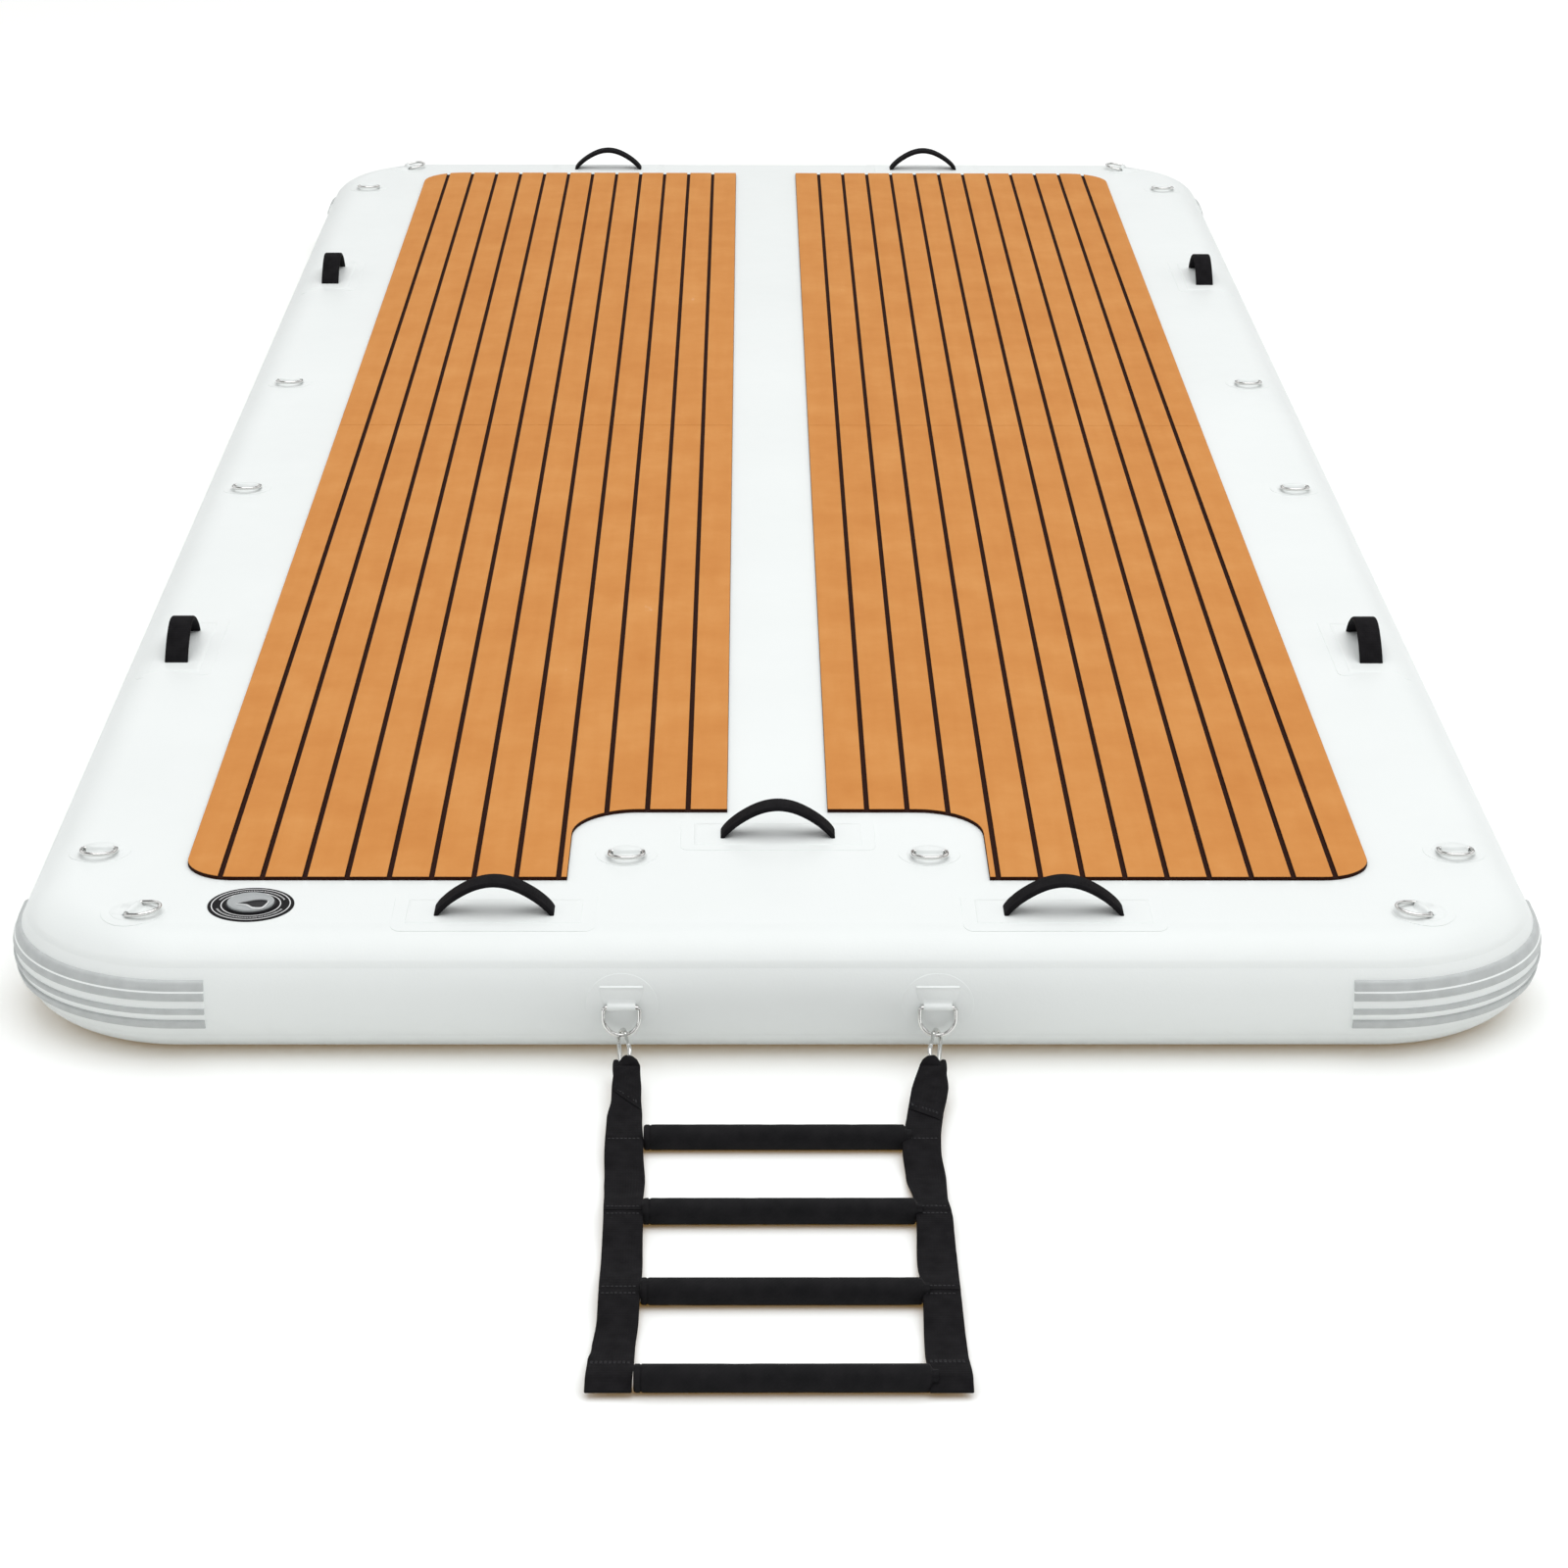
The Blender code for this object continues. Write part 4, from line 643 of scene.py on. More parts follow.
# Nine carrying handles. Each is a band of black webbing round a foam filling, arched so that a
# hand goes under it, and its feet are welded between the two layers of a white patch.
HANDLES = {
    "front_left": (-0.334, -2.03, 0), "front_right": (0.334, -2.03, 0), "front_centre": (0.0, -1.786, 0),
    "rear_left": (-0.334, 2.03, 180), "rear_right": (0.334, 2.03, 180),
    "left_front": (-0.825, -1.08, -90), "left_rear": (-0.825, 1.08, -90),
    "right_front": (0.825, -1.08, 90), "right_rear": (0.825, 1.08, 90),
}
HANDLE_PATCH = (0.1195, 0.052, 0.012)
# Distance in from the patch's edge, and height over the skin
HANDLE_PATCH_LINE = ((0, -0.0002), (0, 0.0003), (0.0004, 0.0006), (0.004, 0.0006), (0.008, 0.0006),
                     (0.012, 0.0006), (0.0165, 0.0006), (0.0168, 0.0009), (0.0172, 0.0012),
                     (0.022, 0.0012), (0.028, 0.0012), (0.036, 0.0012), (0.046, 0.0012))
BAND_HALF = 0.016
BAND_THICK = 0.006
BAND_FOOT_THIN, BAND_FOOT_STEPS = 0.7, 8
BAND_CROWN = 0.12
BAND_LINE = ((-0.0685, -0.0008), (-0.0671, 0.0026), (-0.0615, 0.0094), (-0.0523, 0.0178), (-0.042, 0.0251),
             (-0.031, 0.0314), (-0.0198, 0.0361), (-0.0095, 0.0386), (0.0, 0.0394))

# Nylon webbing, woven tight and dyed black: almost matt, with ribs across it and a soft sheen
# on the crests. Ribs of 1.2 mm, drawn at 2 mm.
black_webbing = new_material("woven_black_nylon", Roughness=0.82, IOR=1.53, Specular_IOR_Level=0.06)


def flat_map(material):
    """Place on a piece in metres, round it and along it."""
    return add_node(material, "ShaderNodeUVMap", uv_map="metres").outputs["UV"]


def stripes(material, place, direction, scale, distortion):
    """Threads that run side by side over a cloth."""
    waves = add_node(material, "ShaderNodeTexWave",
                     {"Vector": place, "Scale": scale, "Distortion": distortion}, bands_direction=direction)
    return waves.outputs["Fac"]


place = flat_map(black_webbing)
ribs = stripes(black_webbing, place, "Y", 78.0, 0.4)
warp = stripes(black_webbing, place, "X", 105.0, 0.4)
woven = add_node(black_webbing, "ShaderNodeMix", {"Factor": 0.45, "A": ribs, "B": warp})
tone(black_webbing, mottle(black_webbing, 60.0, 4.0, Vector=place), (0.3, "#131214"), (0.7, "#1D1C1E"))
relief(black_webbing, woven.outputs["Result"], 0.0003, Strength=0.7)


def rounded_plan(half_x, half_y, radius, steps=8):
    """Rounded rectangle, anticlockwise."""
    points = []
    for quarter, (sx, sy) in enumerate(QUARTERS):
        x, y, start = sx * (half_x - radius), sy * (half_y - radius), 90 * quarter
        points += arc(x, y, radius, start, start + 90, steps)
    return points


def spline(points, steps):
    """Smooth line through points, with some steps to each gap."""
    ends = [points[0] * 2 - points[1]] + list(points) + [points[-1] * 2 - points[-2]]
    line = []
    for a, b, c, d in zip(ends, ends[1:], ends[2:], ends[3:]):
        for k in range(steps):
            t = k / steps
            line.append((b * 2 + (c - a) * t + (a * 2 - b * 5 + c * 4 - d) * t * t
                         + (b * 3 - a - c * 3 + d) * t ** 3) / 2)
    return line + [points[-1]]


half_line = [Vector((u, v)) for u, v in BAND_LINE]
line = spline(half_line + [Vector((-p.x, p.y)) for p in reversed(half_line[:-1])], 4)
for name, (x, y, turn) in HANDLES.items():
    place = deck_place(x, y, turn)
    half_x, half_y, radius = HANDLE_PATCH
    rings = []
    for d, lift in HANDLE_PATCH_LINE:
        plan = rounded_plan(half_x - d, half_y - d, max(radius - d, 0.002))
        rings.append([place(u, v, lift) for u, v in plan])
    bm = bmesh.new()
    loft(bm, rings)
    fix(new_piece("handle_patch_" + name, bm, white_pvc, sharp=35), "platform", "white_pvc")
    rings = []
    for k, point in enumerate(line):
        way = (line[min(k + 1, len(line) - 1)] - line[max(k - 1, 0)]).normalized()
        out = Vector((-way.y, way.x))
        full = min(min(k, len(line) - 1 - k) / BAND_FOOT_STEPS, 1)
        fat = BAND_THICK / 2 * (BAND_FOOT_THIN + (1 - BAND_FOOT_THIN) * full)
        ring = []
        for v, t in rounded_plan(BAND_HALF, fat, fat * 0.9, 4):
            u = point + out * t * (1 + BAND_CROWN * (1 - (v / BAND_HALF) ** 2))
            ring.append(Vector((u.x, v, u.y)))
        rings.append(ring)
    bm = bmesh.new()
    loft(bm, rings)
    band = new_piece("handle_band_" + name, bm, black_webbing, sharp=60)
    band.matrix_world = Matrix.Translation((x, y, 2 * MID_HEIGHT)) @ rotation(turn, "Z")
    fix(band, "platform", "black_webbing", "handle_" + name)


# The inflation valve is moulded nylon: a flanged tube through the skin, a sprung plunger in it,
# and a cap that twists off. A printed black disc is glued round it.
VALVE = Vector((-0.622, -2.01, 0.15))
LABEL_RADIUS, LABEL_HOLE = 0.051, 0.02
LABEL_TOP = 0.001
INK_LOW, INK_TOP = LABEL_TOP - 0.0001, LABEL_TOP + 0.0002
PRINT_CIRCLES = (0.0462, 0.0349)
CIRCLE_HALF = 0.0006
# The print between the circles is drawn as marks that can't be read: degrees, radii, widths
MARK_ARCS = ((20, 160), (200, 340))
MARK_RADII = (0.0394, 0.0416)
MARK_STEP, MARK_INK = (2.0, 3.6), 0.42
# Profiles of radius and height round the valve's axis
FLANGE_LINE = ((0.03, 0.0013), (0.03, 0.0021), (0.0295, 0.0026), (0.016, 0.0026), (0.016, -0.032),
               (0.011, -0.032), (0.011, -0.036), (0.019, -0.036), (0.019, 0.0013))
HUB_LINE = ((0.0065, -0.0217), (0.0065, -0.0177), (0.003, -0.0177), (0.003, -0.0217))
STEM_LINE = ((0.0127, -0.0393), (0.013, -0.039), (0.013, -0.0366), (0.0127, -0.0363), (0.0029, -0.036),
             (0.0027, -0.0355), (0.0027, -0.0035), (0.0072, -0.0033), (0.0075, -0.003), (0.0075, -0.0005),
             (0.0071, -0.0001))
RIB_SECTION = ((-0.0015, -0.0213), (0.0015, -0.0213), (0.0015, -0.0181), (-0.0015, -0.0181))
RIB_REACH = (0.0055, 0.0175)
NUT_LOW, NUT_TOP = -0.0078, -0.0028
NUT_LUG, NUT_NECK, NUT_BORE = 0.0288, 0.0273, 0.0193
SPRING_LOW, SPRING_TOP = -0.0169, -0.0038
SPRING_TURNS, SPRING_STEPS = 5, 24
SPRING_RADIUS, SPRING_WIRE = 0.0048, 0.0005

# Printed vinyl: smooth, near black, with a satin face.
label_vinyl = grained("printed_black_vinyl", 900.0, 0.0001, Base_Color=linear("#121013"), Roughness=0.55,
                      Specular_IOR_Level=0.08)
# Screen ink: flat white, slightly uneven at its edges.
white_ink = grained("screened_white_ink", 700.0, tints=((0.3, "#D8D9DA"), (0.6, "#F0F1F1")), Roughness=0.55)
# Glass-filled nylon, moulded: near black, satin, with a fine spark-eroded texture.
dark_nylon = grained("moulded_dark_nylon", 1200.0, 0.0001, tints=((0.3, "#1D1D1F"), (0.7, "#262629")),
                     Roughness=0.5, IOR=1.53, Specular_IOR_Level=0.15)


def turned(bm, profile, sides=64, slot=0):
    """Turn a closed profile of radius and height round the valve's axis."""
    rings = [[VALVE + spoke(k / sides, r, z) for r, z in profile] for k in range(sides)]
    loft(bm, rings, closed=True, slot=slot)


bm = bmesh.new()
turned(bm, ((LABEL_RADIUS, -SUNK), (LABEL_RADIUS, 0.0006), (LABEL_RADIUS - 0.0004, LABEL_TOP),
            (LABEL_HOLE, LABEL_TOP), (LABEL_HOLE, -SUNK)))
for radius in PRINT_CIRCLES:
    inner, outer = radius - CIRCLE_HALF, radius + CIRCLE_HALF
    turned(bm, ((inner, INK_LOW), (outer, INK_LOW), (outer, INK_TOP), (inner, INK_TOP)), slot=1)
random.seed(7)
inner, outer = MARK_RADII
for angle, arc_end in MARK_ARCS:
    while angle < arc_end:
        width = random.uniform(*MARK_STEP)
        end = angle + width * MARK_INK
        corners = ((inner, angle), (inner, end), (outer, end), (outer, angle))
        mark = [[VALVE + spoke(turn / 360, r, z) for r, turn in corners] for z in (INK_LOW, INK_TOP)]
        loft(bm, mark, slot=1)
        angle += width
fix(new_piece("valve_label", bm, label_vinyl, white_ink, sharp=40), "platform", "dark_valve_plastic")

bm = bmesh.new()
turned(bm, FLANGE_LINE)
turned(bm, HUB_LINE, sides=24)
for k in range(3):
    turn = rotation(120 * k, "Z")
    loft(bm, [[VALVE + turn @ Vector((reach, across, z)) for across, z in RIB_SECTION]
              for reach in RIB_REACH])
fix(new_piece("valve_flange", bm, dark_nylon, sharp=40), "platform", "grey_valve_plastic", "valve_body")

rings = []
for reach, neck, z in ((NUT_LUG, NUT_NECK, NUT_LOW), (NUT_LUG, NUT_NECK, NUT_TOP),
                       (NUT_BORE, NUT_BORE, NUT_TOP), (NUT_BORE, NUT_BORE, NUT_LOW)):
    rings.append([VALVE + spoke((k + 0.5) / 64, reach if k % 16 < 8 else neck, z) for k in range(64)])
bm = bmesh.new()
loft(bm, rings, closed=True)
fix(new_piece("valve_ring_nut", bm, dark_nylon, sharp=40), "platform", "dark_valve_plastic", "valve_nut")

bm = bmesh.new()
loft(bm, [circle(VALVE + UP * z, ACROSS, AHEAD, radius, 32) for radius, z in STEM_LINE])
fix(new_piece("valve_stem", bm, dark_nylon, sharp=40), "valve_plunger", "dark_valve_plastic", "valve_plunger")

count = SPRING_TURNS * SPRING_STEPS
rings = []
for k in range(count + 1):
    out = spoke(k / SPRING_STEPS)
    z = SPRING_LOW + (SPRING_TOP - SPRING_LOW) * k / count
    rings.append(circle(VALVE + out * SPRING_RADIUS + UP * z, out, UP, SPRING_WIRE, 8))
bm = bmesh.new()
loft(bm, rings)
spring = fix(new_piece("valve_coil_spring", bm, stainless), "platform", "stainless", "valve_spring")
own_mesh(spring)


# The cap is a low dish. A finger recess is sunk in its face, with a raised lip along its near edge
# to turn and lift it by.
CAP_FACE = 0.0048
# Radius and height, from under the rim over it to the face
CAP_LINE = ((0.026, 0.0028), (0.0279, 0.0028), (0.0279, 0.004), (0.0275, 0.0049), (0.0266, 0.0054),
            (0.0254, 0.0054), (0.0246, 0.0051), (0.0241, CAP_FACE))
# Radius and height of the dark disc under the face that floors the recess: painted shade in the recess
RECESS_SHADE_LINE = ((0.0005, 0.003), (0.0258, 0.003), (0.0258, 0.0034), (0.0005, 0.0034))
CAP_SIDES = 96
RECESS_FLOOR = 0.0033
RECESS = ((-0.0161, -0.0084), (-0.004, -0.0122), (0.0042, -0.0211), (0.0136, -0.0223), (0.0175, -0.0173),
          (0.0208, 0.0005), (0.0107, 0.0069), (-0.0057, 0.0005))
RECESS_MIDDLE = Vector((0.006, -0.009))
RECESS_STEPS = 6
LIP_POINTS, LIP_RADIUS, LIP_LIFT = 31, 0.0014, 0.0004

# The same nylon in light grey, and its lip painted pale as a highlight along the recess's near edge.
grey_nylon = grained("moulded_grey_nylon", 1200.0, 0.0001, tints=((0.3, "#9A9E9F"), (0.7, "#ACB0B1")),
                     Roughness=0.36, IOR=1.53)
highlight_nylon = grained("painted_highlight_nylon", 900.0, tints=((0.3, "#DCDFDF"), (0.7, "#ECEEEE")),
                     Roughness=0.3, IOR=1.53)


def outline_hit(polygon, start, way):
    """Where a ray from inside a closed plan outline meets it."""
    for k, here in enumerate(polygon):
        edge = polygon[(k + 1) % len(polygon)] - here
        turn = way.x * edge.y - way.y * edge.x
        if abs(turn) < 1e-12:
            continue
        gap = here - start
        reach = (gap.x * edge.y - gap.y * edge.x) / turn
        share = (gap.x * way.y - gap.y * way.x) / turn
        if reach > 0 and 0 <= share <= 1:
            return start + way * reach
    return start


corners = [Vector(point) for point in RECESS]
closed = spline(corners[-3:] + corners + corners[:4], RECESS_STEPS)
recess = closed[3 * RECESS_STEPS:(3 + len(corners)) * RECESS_STEPS]
rings = []
for k in range(CAP_SIDES):
    way = spoke(k / CAP_SIDES).to_2d()
    points = [(way * radius, z) for radius, z in CAP_LINE]
    rim = points[-1][0]
    edge = outline_hit(recess, RECESS_MIDDLE, (rim - RECESS_MIDDLE).normalized())
    points += [(rim.lerp(edge, 0.5), CAP_FACE), (edge + (rim - edge).normalized() * 0.0004, CAP_FACE),
               (edge, CAP_FACE - 0.0003), (edge, RECESS_FLOOR)]
    rings.append([VALVE + Vector((p.x, p.y, z)) for p, z in points])
bm = bmesh.new()
loft(bm, rings, closed=True)
# A dark disc shows through the recess as its floor: painted shade in the recess.
turned(bm, RECESS_SHADE_LINE, sides=48, slot=1)
# The lip is painted pale: a painted highlight along the recess's near edge.
lip = [VALVE + Vector((p.x, p.y, CAP_FACE + LIP_LIFT)) for p in recess[:LIP_POINTS]]
radii = [LIP_RADIUS * math.sin(math.pi * (k + 1) / (LIP_POINTS + 1)) ** 0.5 for k in range(LIP_POINTS)]
wire(bm, lip, UP, radii, sides=8, slot=2)
fix(new_piece("valve_twist_cap", bm, grey_nylon, dark_nylon, highlight_nylon, sharp=35), "valve_cap",
    "grey_valve_plastic", "valve_cap")


# Two spring carabiners of 5 mm stainless rod hang in the ladder's rings. A rivet in the
# narrow end holds the gate, which a spring inside it keeps shut.
HOOKS = {
    "left": (Vector((-0.183, -2.1411, 0.04168)), Vector((0.46521, -0.1697, 0.86878)),
             Vector((0.13443, -0.95653, -0.25882)), Vector((0.87493, 0.2372, -0.42217))),
    "right": (Vector((0.183, -2.1411, 0.04168)), Vector((-0.46521, -0.1697, 0.86878)),
              Vector((-0.13443, -0.95653, -0.25882)), Vector((0.87493, -0.2372, 0.42217))),
}
HOOK_NARROW, HOOK_WIDE, HOOK_LENGTH = 0.0075, 0.0115, 0.038
HOOK_SHIFT = 0.0012
GATE_START, GATE_END = 0.16, 0.86
GATE_SLIT, GATE_STUB = 0.068, 0.95
GATE_PLAY = 0.0003
# Distance and radius along the gate: from its pivot to its notch, and back from its free end
GATE_FOOT = ((-0.0024, 0.0008), (-0.0019, 0.0017), (-0.001, 0.0023), (0, 0.0025), (0.002, 0.0025),
             (0.0026, 0.0019), (0.0034, 0.0019), (0.004, 0.0024), (0.006, 0.0022))
GATE_TIP = ((-0.003, 0.0022), (-0.0008, 0.0025), (-0.0002, 0.0023), (0, 0.0018))
RIVET_LINE = ((-0.0032, 0.0008), (-0.0029, 0.0014), (-0.0022, 0.0014), (0.0022, 0.0014), (0.0029, 0.0014),
              (0.0032, 0.0008))


def hook_frame(side):
    """Return a carabiner's place: Y runs from its narrow end to its wide end, X to its gate."""
    ring, x_way, y_way, z_way = HOOKS[side]
    place = Matrix((x_way, y_way, z_way)).transposed().to_4x4()
    place.translation = ring + y_way * HOOK_SHIFT
    return place


def hook_leg(share):
    """Point on the gate's leg by its share of the way to the wide end."""
    lean = math.asin((HOOK_WIDE - HOOK_NARROW) / HOOK_LENGTH)
    out = Vector((math.cos(lean), -math.sin(lean), 0))
    return (out * HOOK_NARROW).lerp(out * HOOK_WIDE + Vector((0, HOOK_LENGTH, 0)), share)


lean = math.degrees(math.asin((HOOK_WIDE - HOOK_NARROW) / HOOK_LENGTH))
for side in HOOKS:
    bends = arc(0, HOOK_LENGTH, HOOK_WIDE, -lean, 180 + lean, 28)
    bends += arc(0, 0, HOOK_NARROW, 180 + lean, 360 - lean, 24)
    line = [hook_leg(GATE_END), hook_leg(GATE_STUB)] + [Vector((x, y, 0)) for x, y in bends]
    line.append(hook_leg(GATE_START - GATE_SLIT))
    bm = bmesh.new()
    wire(bm, line, UP, [WIRE * 0.86] + [WIRE] * (len(line) - 1))
    body = new_piece("carabiner_body_" + side, bm, stainless, sharp=50)
    body.matrix_world = hook_frame(side)
    fix(body, "ladder_head", "stainless", "carabiner_" + side)
    start, end = hook_leg(GATE_START), hook_leg(GATE_END)
    way = (end - start).normalized()
    length = (end - start).length - GATE_PLAY
    stations = list(GATE_FOOT) + [(length + d, r) for d, r in GATE_TIP]
    bm = bmesh.new()
    wire(bm, [start + way * d for d, r in stations], UP, [r for d, r in stations])
    loft(bm, [circle(start + UP * z, ACROSS, AHEAD, r, 12) for z, r in RIVET_LINE])
    gate = new_piece("carabiner_gate_" + side, bm, stainless, sharp=50)
    gate.matrix_world = hook_frame(side)
    fix(gate, "gate_" + side, "stainless", "gate_" + side)


# The ladder's two side straps are 43 mm nylon webbing, doubled. At the top each is gathered
# through its carabiner's eye and sewn back on itself, and a bar of stitches closes each rung.
BODIES = ("ladder_head", "ladder_section_2", "ladder_section_3", "ladder_section_4")
STRAP_THICK = 0.004
STRAP_STEPS, TAIL_STEPS = 40, 52
RUNG_Y = [-2.353 - 0.179 * k for k in range(4)]
RUNG_Z = 0.0145
STRAP_SAG, TAIL_DROP = 0.008, 0.007
TAIL_Y = -2.905
WRINKLE, WRINKLE_RATE = 0.0014, 42
# The gathered top: distance past the carabiner's end, width, thickness, and turn in degrees
GATHER_LINE = ((-0.0082, 0.007, 0.005, 60), (-0.0076, 0.0125, 0.009, 60), (-0.005, 0.0168, 0.0125, 56),
               (-0.0012, 0.0235, 0.0135, 42), (0.003, 0.028, 0.013, 26), (0.009, 0.0305, 0.0115, 10))
OPEN_STEPS = 30
# The selvedge that sticks out beside each carabiner, from the strap up, and its width
TUCK_LINE = ((0.1868, -2.204, 0.021, 0.0085), (0.1877, -2.194, 0.0225, 0.0085),
             (0.1884, -2.183, 0.0235, 0.0075), (0.1886, -2.175, 0.0238, 0.006),
             (0.1884, -2.172, 0.0238, 0.0035))
# Each strap is turned back on itself, and its cut end is sewn down aslant
LAYER_START = -2.206
LAYER_ENDS = {"left": (-2.25, -2.2915), "right": (-2.2892, -2.3169)}
LAYER_ROWS, LAYER_STEPS = 12, 14
LAYER_INSIDE, LAYER_THICK, LAYER_EDGE, LAYER_SINK = 0.0008, 0.0019, 0.0014, 0.0012
# Place down the ladder, and the x of each strap's left and right edge there
STRAP_EDGES = {
    "left": ((-2.262, -0.1905, -0.1566), (-2.307, -0.195, -0.155), (-2.378, -0.1952, -0.152),
             (-2.45, -0.1931, -0.1486), (-2.497, -0.1917, -0.1492), (-2.565, -0.1906, -0.1478),
             (-2.67, -0.1902, -0.1461), (-2.757, -0.19, -0.1473), (-2.818, -0.1933, -0.1495),
             (-2.85, -0.1963, -0.1495), (-2.905, -0.1975, -0.1505)),
    "right": ((-2.262, 0.1395, 0.1815), (-2.297, 0.1391, 0.18), (-2.39, 0.134, 0.1771), (-2.437, 0.136, 0.18),
              (-2.497, 0.1414, 0.179), (-2.553, 0.1426, 0.1823), (-2.64, 0.1403, 0.1828),
              (-2.702, 0.1427, 0.1823), (-2.838, 0.1405, 0.1839), (-2.892, 0.1422, 0.1858),
              (-2.905, 0.1422, 0.186)),
}
STITCH, STITCH_STEP = 0.0032, 0.0046
THREAD, THREAD_TIP = 0.00045, 0.0002
HEM_Y, HEM_GAP = -2.855, 0.004
SEAM_LEFT_IN, SEAM_RIGHT_IN = 0.003, 0.002
RUNG_BAR = 0.0075

# Bonded polyester thread, twisted: rounder and a little glossier than the cloth it draws in.
black_thread = grained("bonded_black_thread", 2500.0, 0.0001, Base_Color=linear("#303034"), Roughness=0.5)


def ease(share):
    """Share of a smooth step from 0 to 1."""
    return share * share * (3 - 2 * share)


def strap_edge(side, y):
    """The x of a strap's left and right edge at one place down the ladder."""
    rows = STRAP_EDGES[side]
    for (y0, a0, b0), (y1, a1, b1) in zip(rows, rows[1:]):
        if y1 <= y <= y0:
            t = ease((y - y0) / (y1 - y0))
            return a0 + (a1 - a0) * t, b0 + (b1 - b0) * t
    return rows[-1][1:] if y < rows[-1][0] else rows[0][1:]


def strap_height(y):
    """Height of a strap's middle, sagging between the rungs."""
    for k in range(3):
        if RUNG_Y[k + 1] <= y <= RUNG_Y[k]:
            share = (RUNG_Y[k] - y) / (RUNG_Y[k] - RUNG_Y[k + 1])
            return RUNG_Z - STRAP_SAG * math.sin(math.pi * share) ** 2
    share = (RUNG_Y[3] - y) / (RUNG_Y[3] - TAIL_Y) if y < RUNG_Y[3] else 0
    return RUNG_Z - TAIL_DROP * share


def webbing_ring(middle, half, thick, tilt, side_way, up, round_off):
    """Cross-section of webbing with rounded selvedges, tilted by an angle round its length."""
    across = side_way * math.cos(tilt) + up * math.sin(tilt)
    through = up * math.cos(tilt) - side_way * math.sin(tilt)
    return [middle + across * u + through * w for u, w in rounded_plan(half, thick / 2, round_off, 4)]


def strap_ring(left, right, y, z, thick, tilt=0.0, way=-AHEAD):
    """Cross-section of a strap between two x."""
    up = (UP - way * UP.dot(way)).normalized()
    middle = Vector(((left + right) / 2, y, z))
    return webbing_ring(middle, (right - left) / 2, thick, tilt, ACROSS, up, thick * 0.42)


def nearest(rings, y):
    """The cross-section nearest to a place down the ladder, as its lowest and highest x and its top."""
    ring = min(rings, key=lambda ring: abs(ring[0].y - y))
    across = [point.x for point in ring]
    return min(across), max(across), max(point.z for point in ring)


def stitch_row(bm, start, end):
    """Sew a row of stitches from one point to another, on top of the cloth."""
    way = (end - start).normalized()
    side_way = way.cross(UP).normalized()
    tip = 0.0006
    stations = ((0, THREAD_TIP), (tip, THREAD), (STITCH - tip, THREAD), (STITCH, THREAD_TIP))
    for n in range(int((end - start).length / STITCH_STEP)):
        begin = start + way * STITCH_STEP * n
        loft(bm, [circle(begin + way * d, side_way, UP, radius, 6) for d, radius in stations], slot=1)


def strap_length(side, k):
    """Length of strap that hangs from rung k, with its seams."""
    start, end = RUNG_Y[k - 1], RUNG_Y[k] if k < 3 else TAIL_Y
    steps = STRAP_STEPS if k < 3 else TAIL_STEPS
    rings = []
    for step in range(steps + 1):
        y = start + (end - start) * step / steps
        left, right = strap_edge(side, y)
        slope = (strap_height(y - 0.001) - strap_height(y + 0.001)) / 0.002
        wrinkle = WRINKLE * noise.noise(Vector((k + 5 * (side == "left"), y * WRINKLE_RATE, 0.5)))
        way = Vector((0, -1, slope)).normalized()
        rings.append(strap_ring(left, right, y, strap_height(y) + wrinkle, STRAP_THICK, 0, way))
    bm = bmesh.new()
    loft(bm, rings)
    for y in [start - RUNG_BAR] + ([end + RUNG_BAR] if k < 3 else [HEM_Y, HEM_Y - HEM_GAP]):
        low_x, high_x, top_z = nearest(rings, y)
        stitch_row(bm, Vector((low_x + SEAM_LEFT_IN, y, top_z + SUNK)),
                   Vector((high_x - SEAM_RIGHT_IN, y, top_z + SUNK)))
    return bm


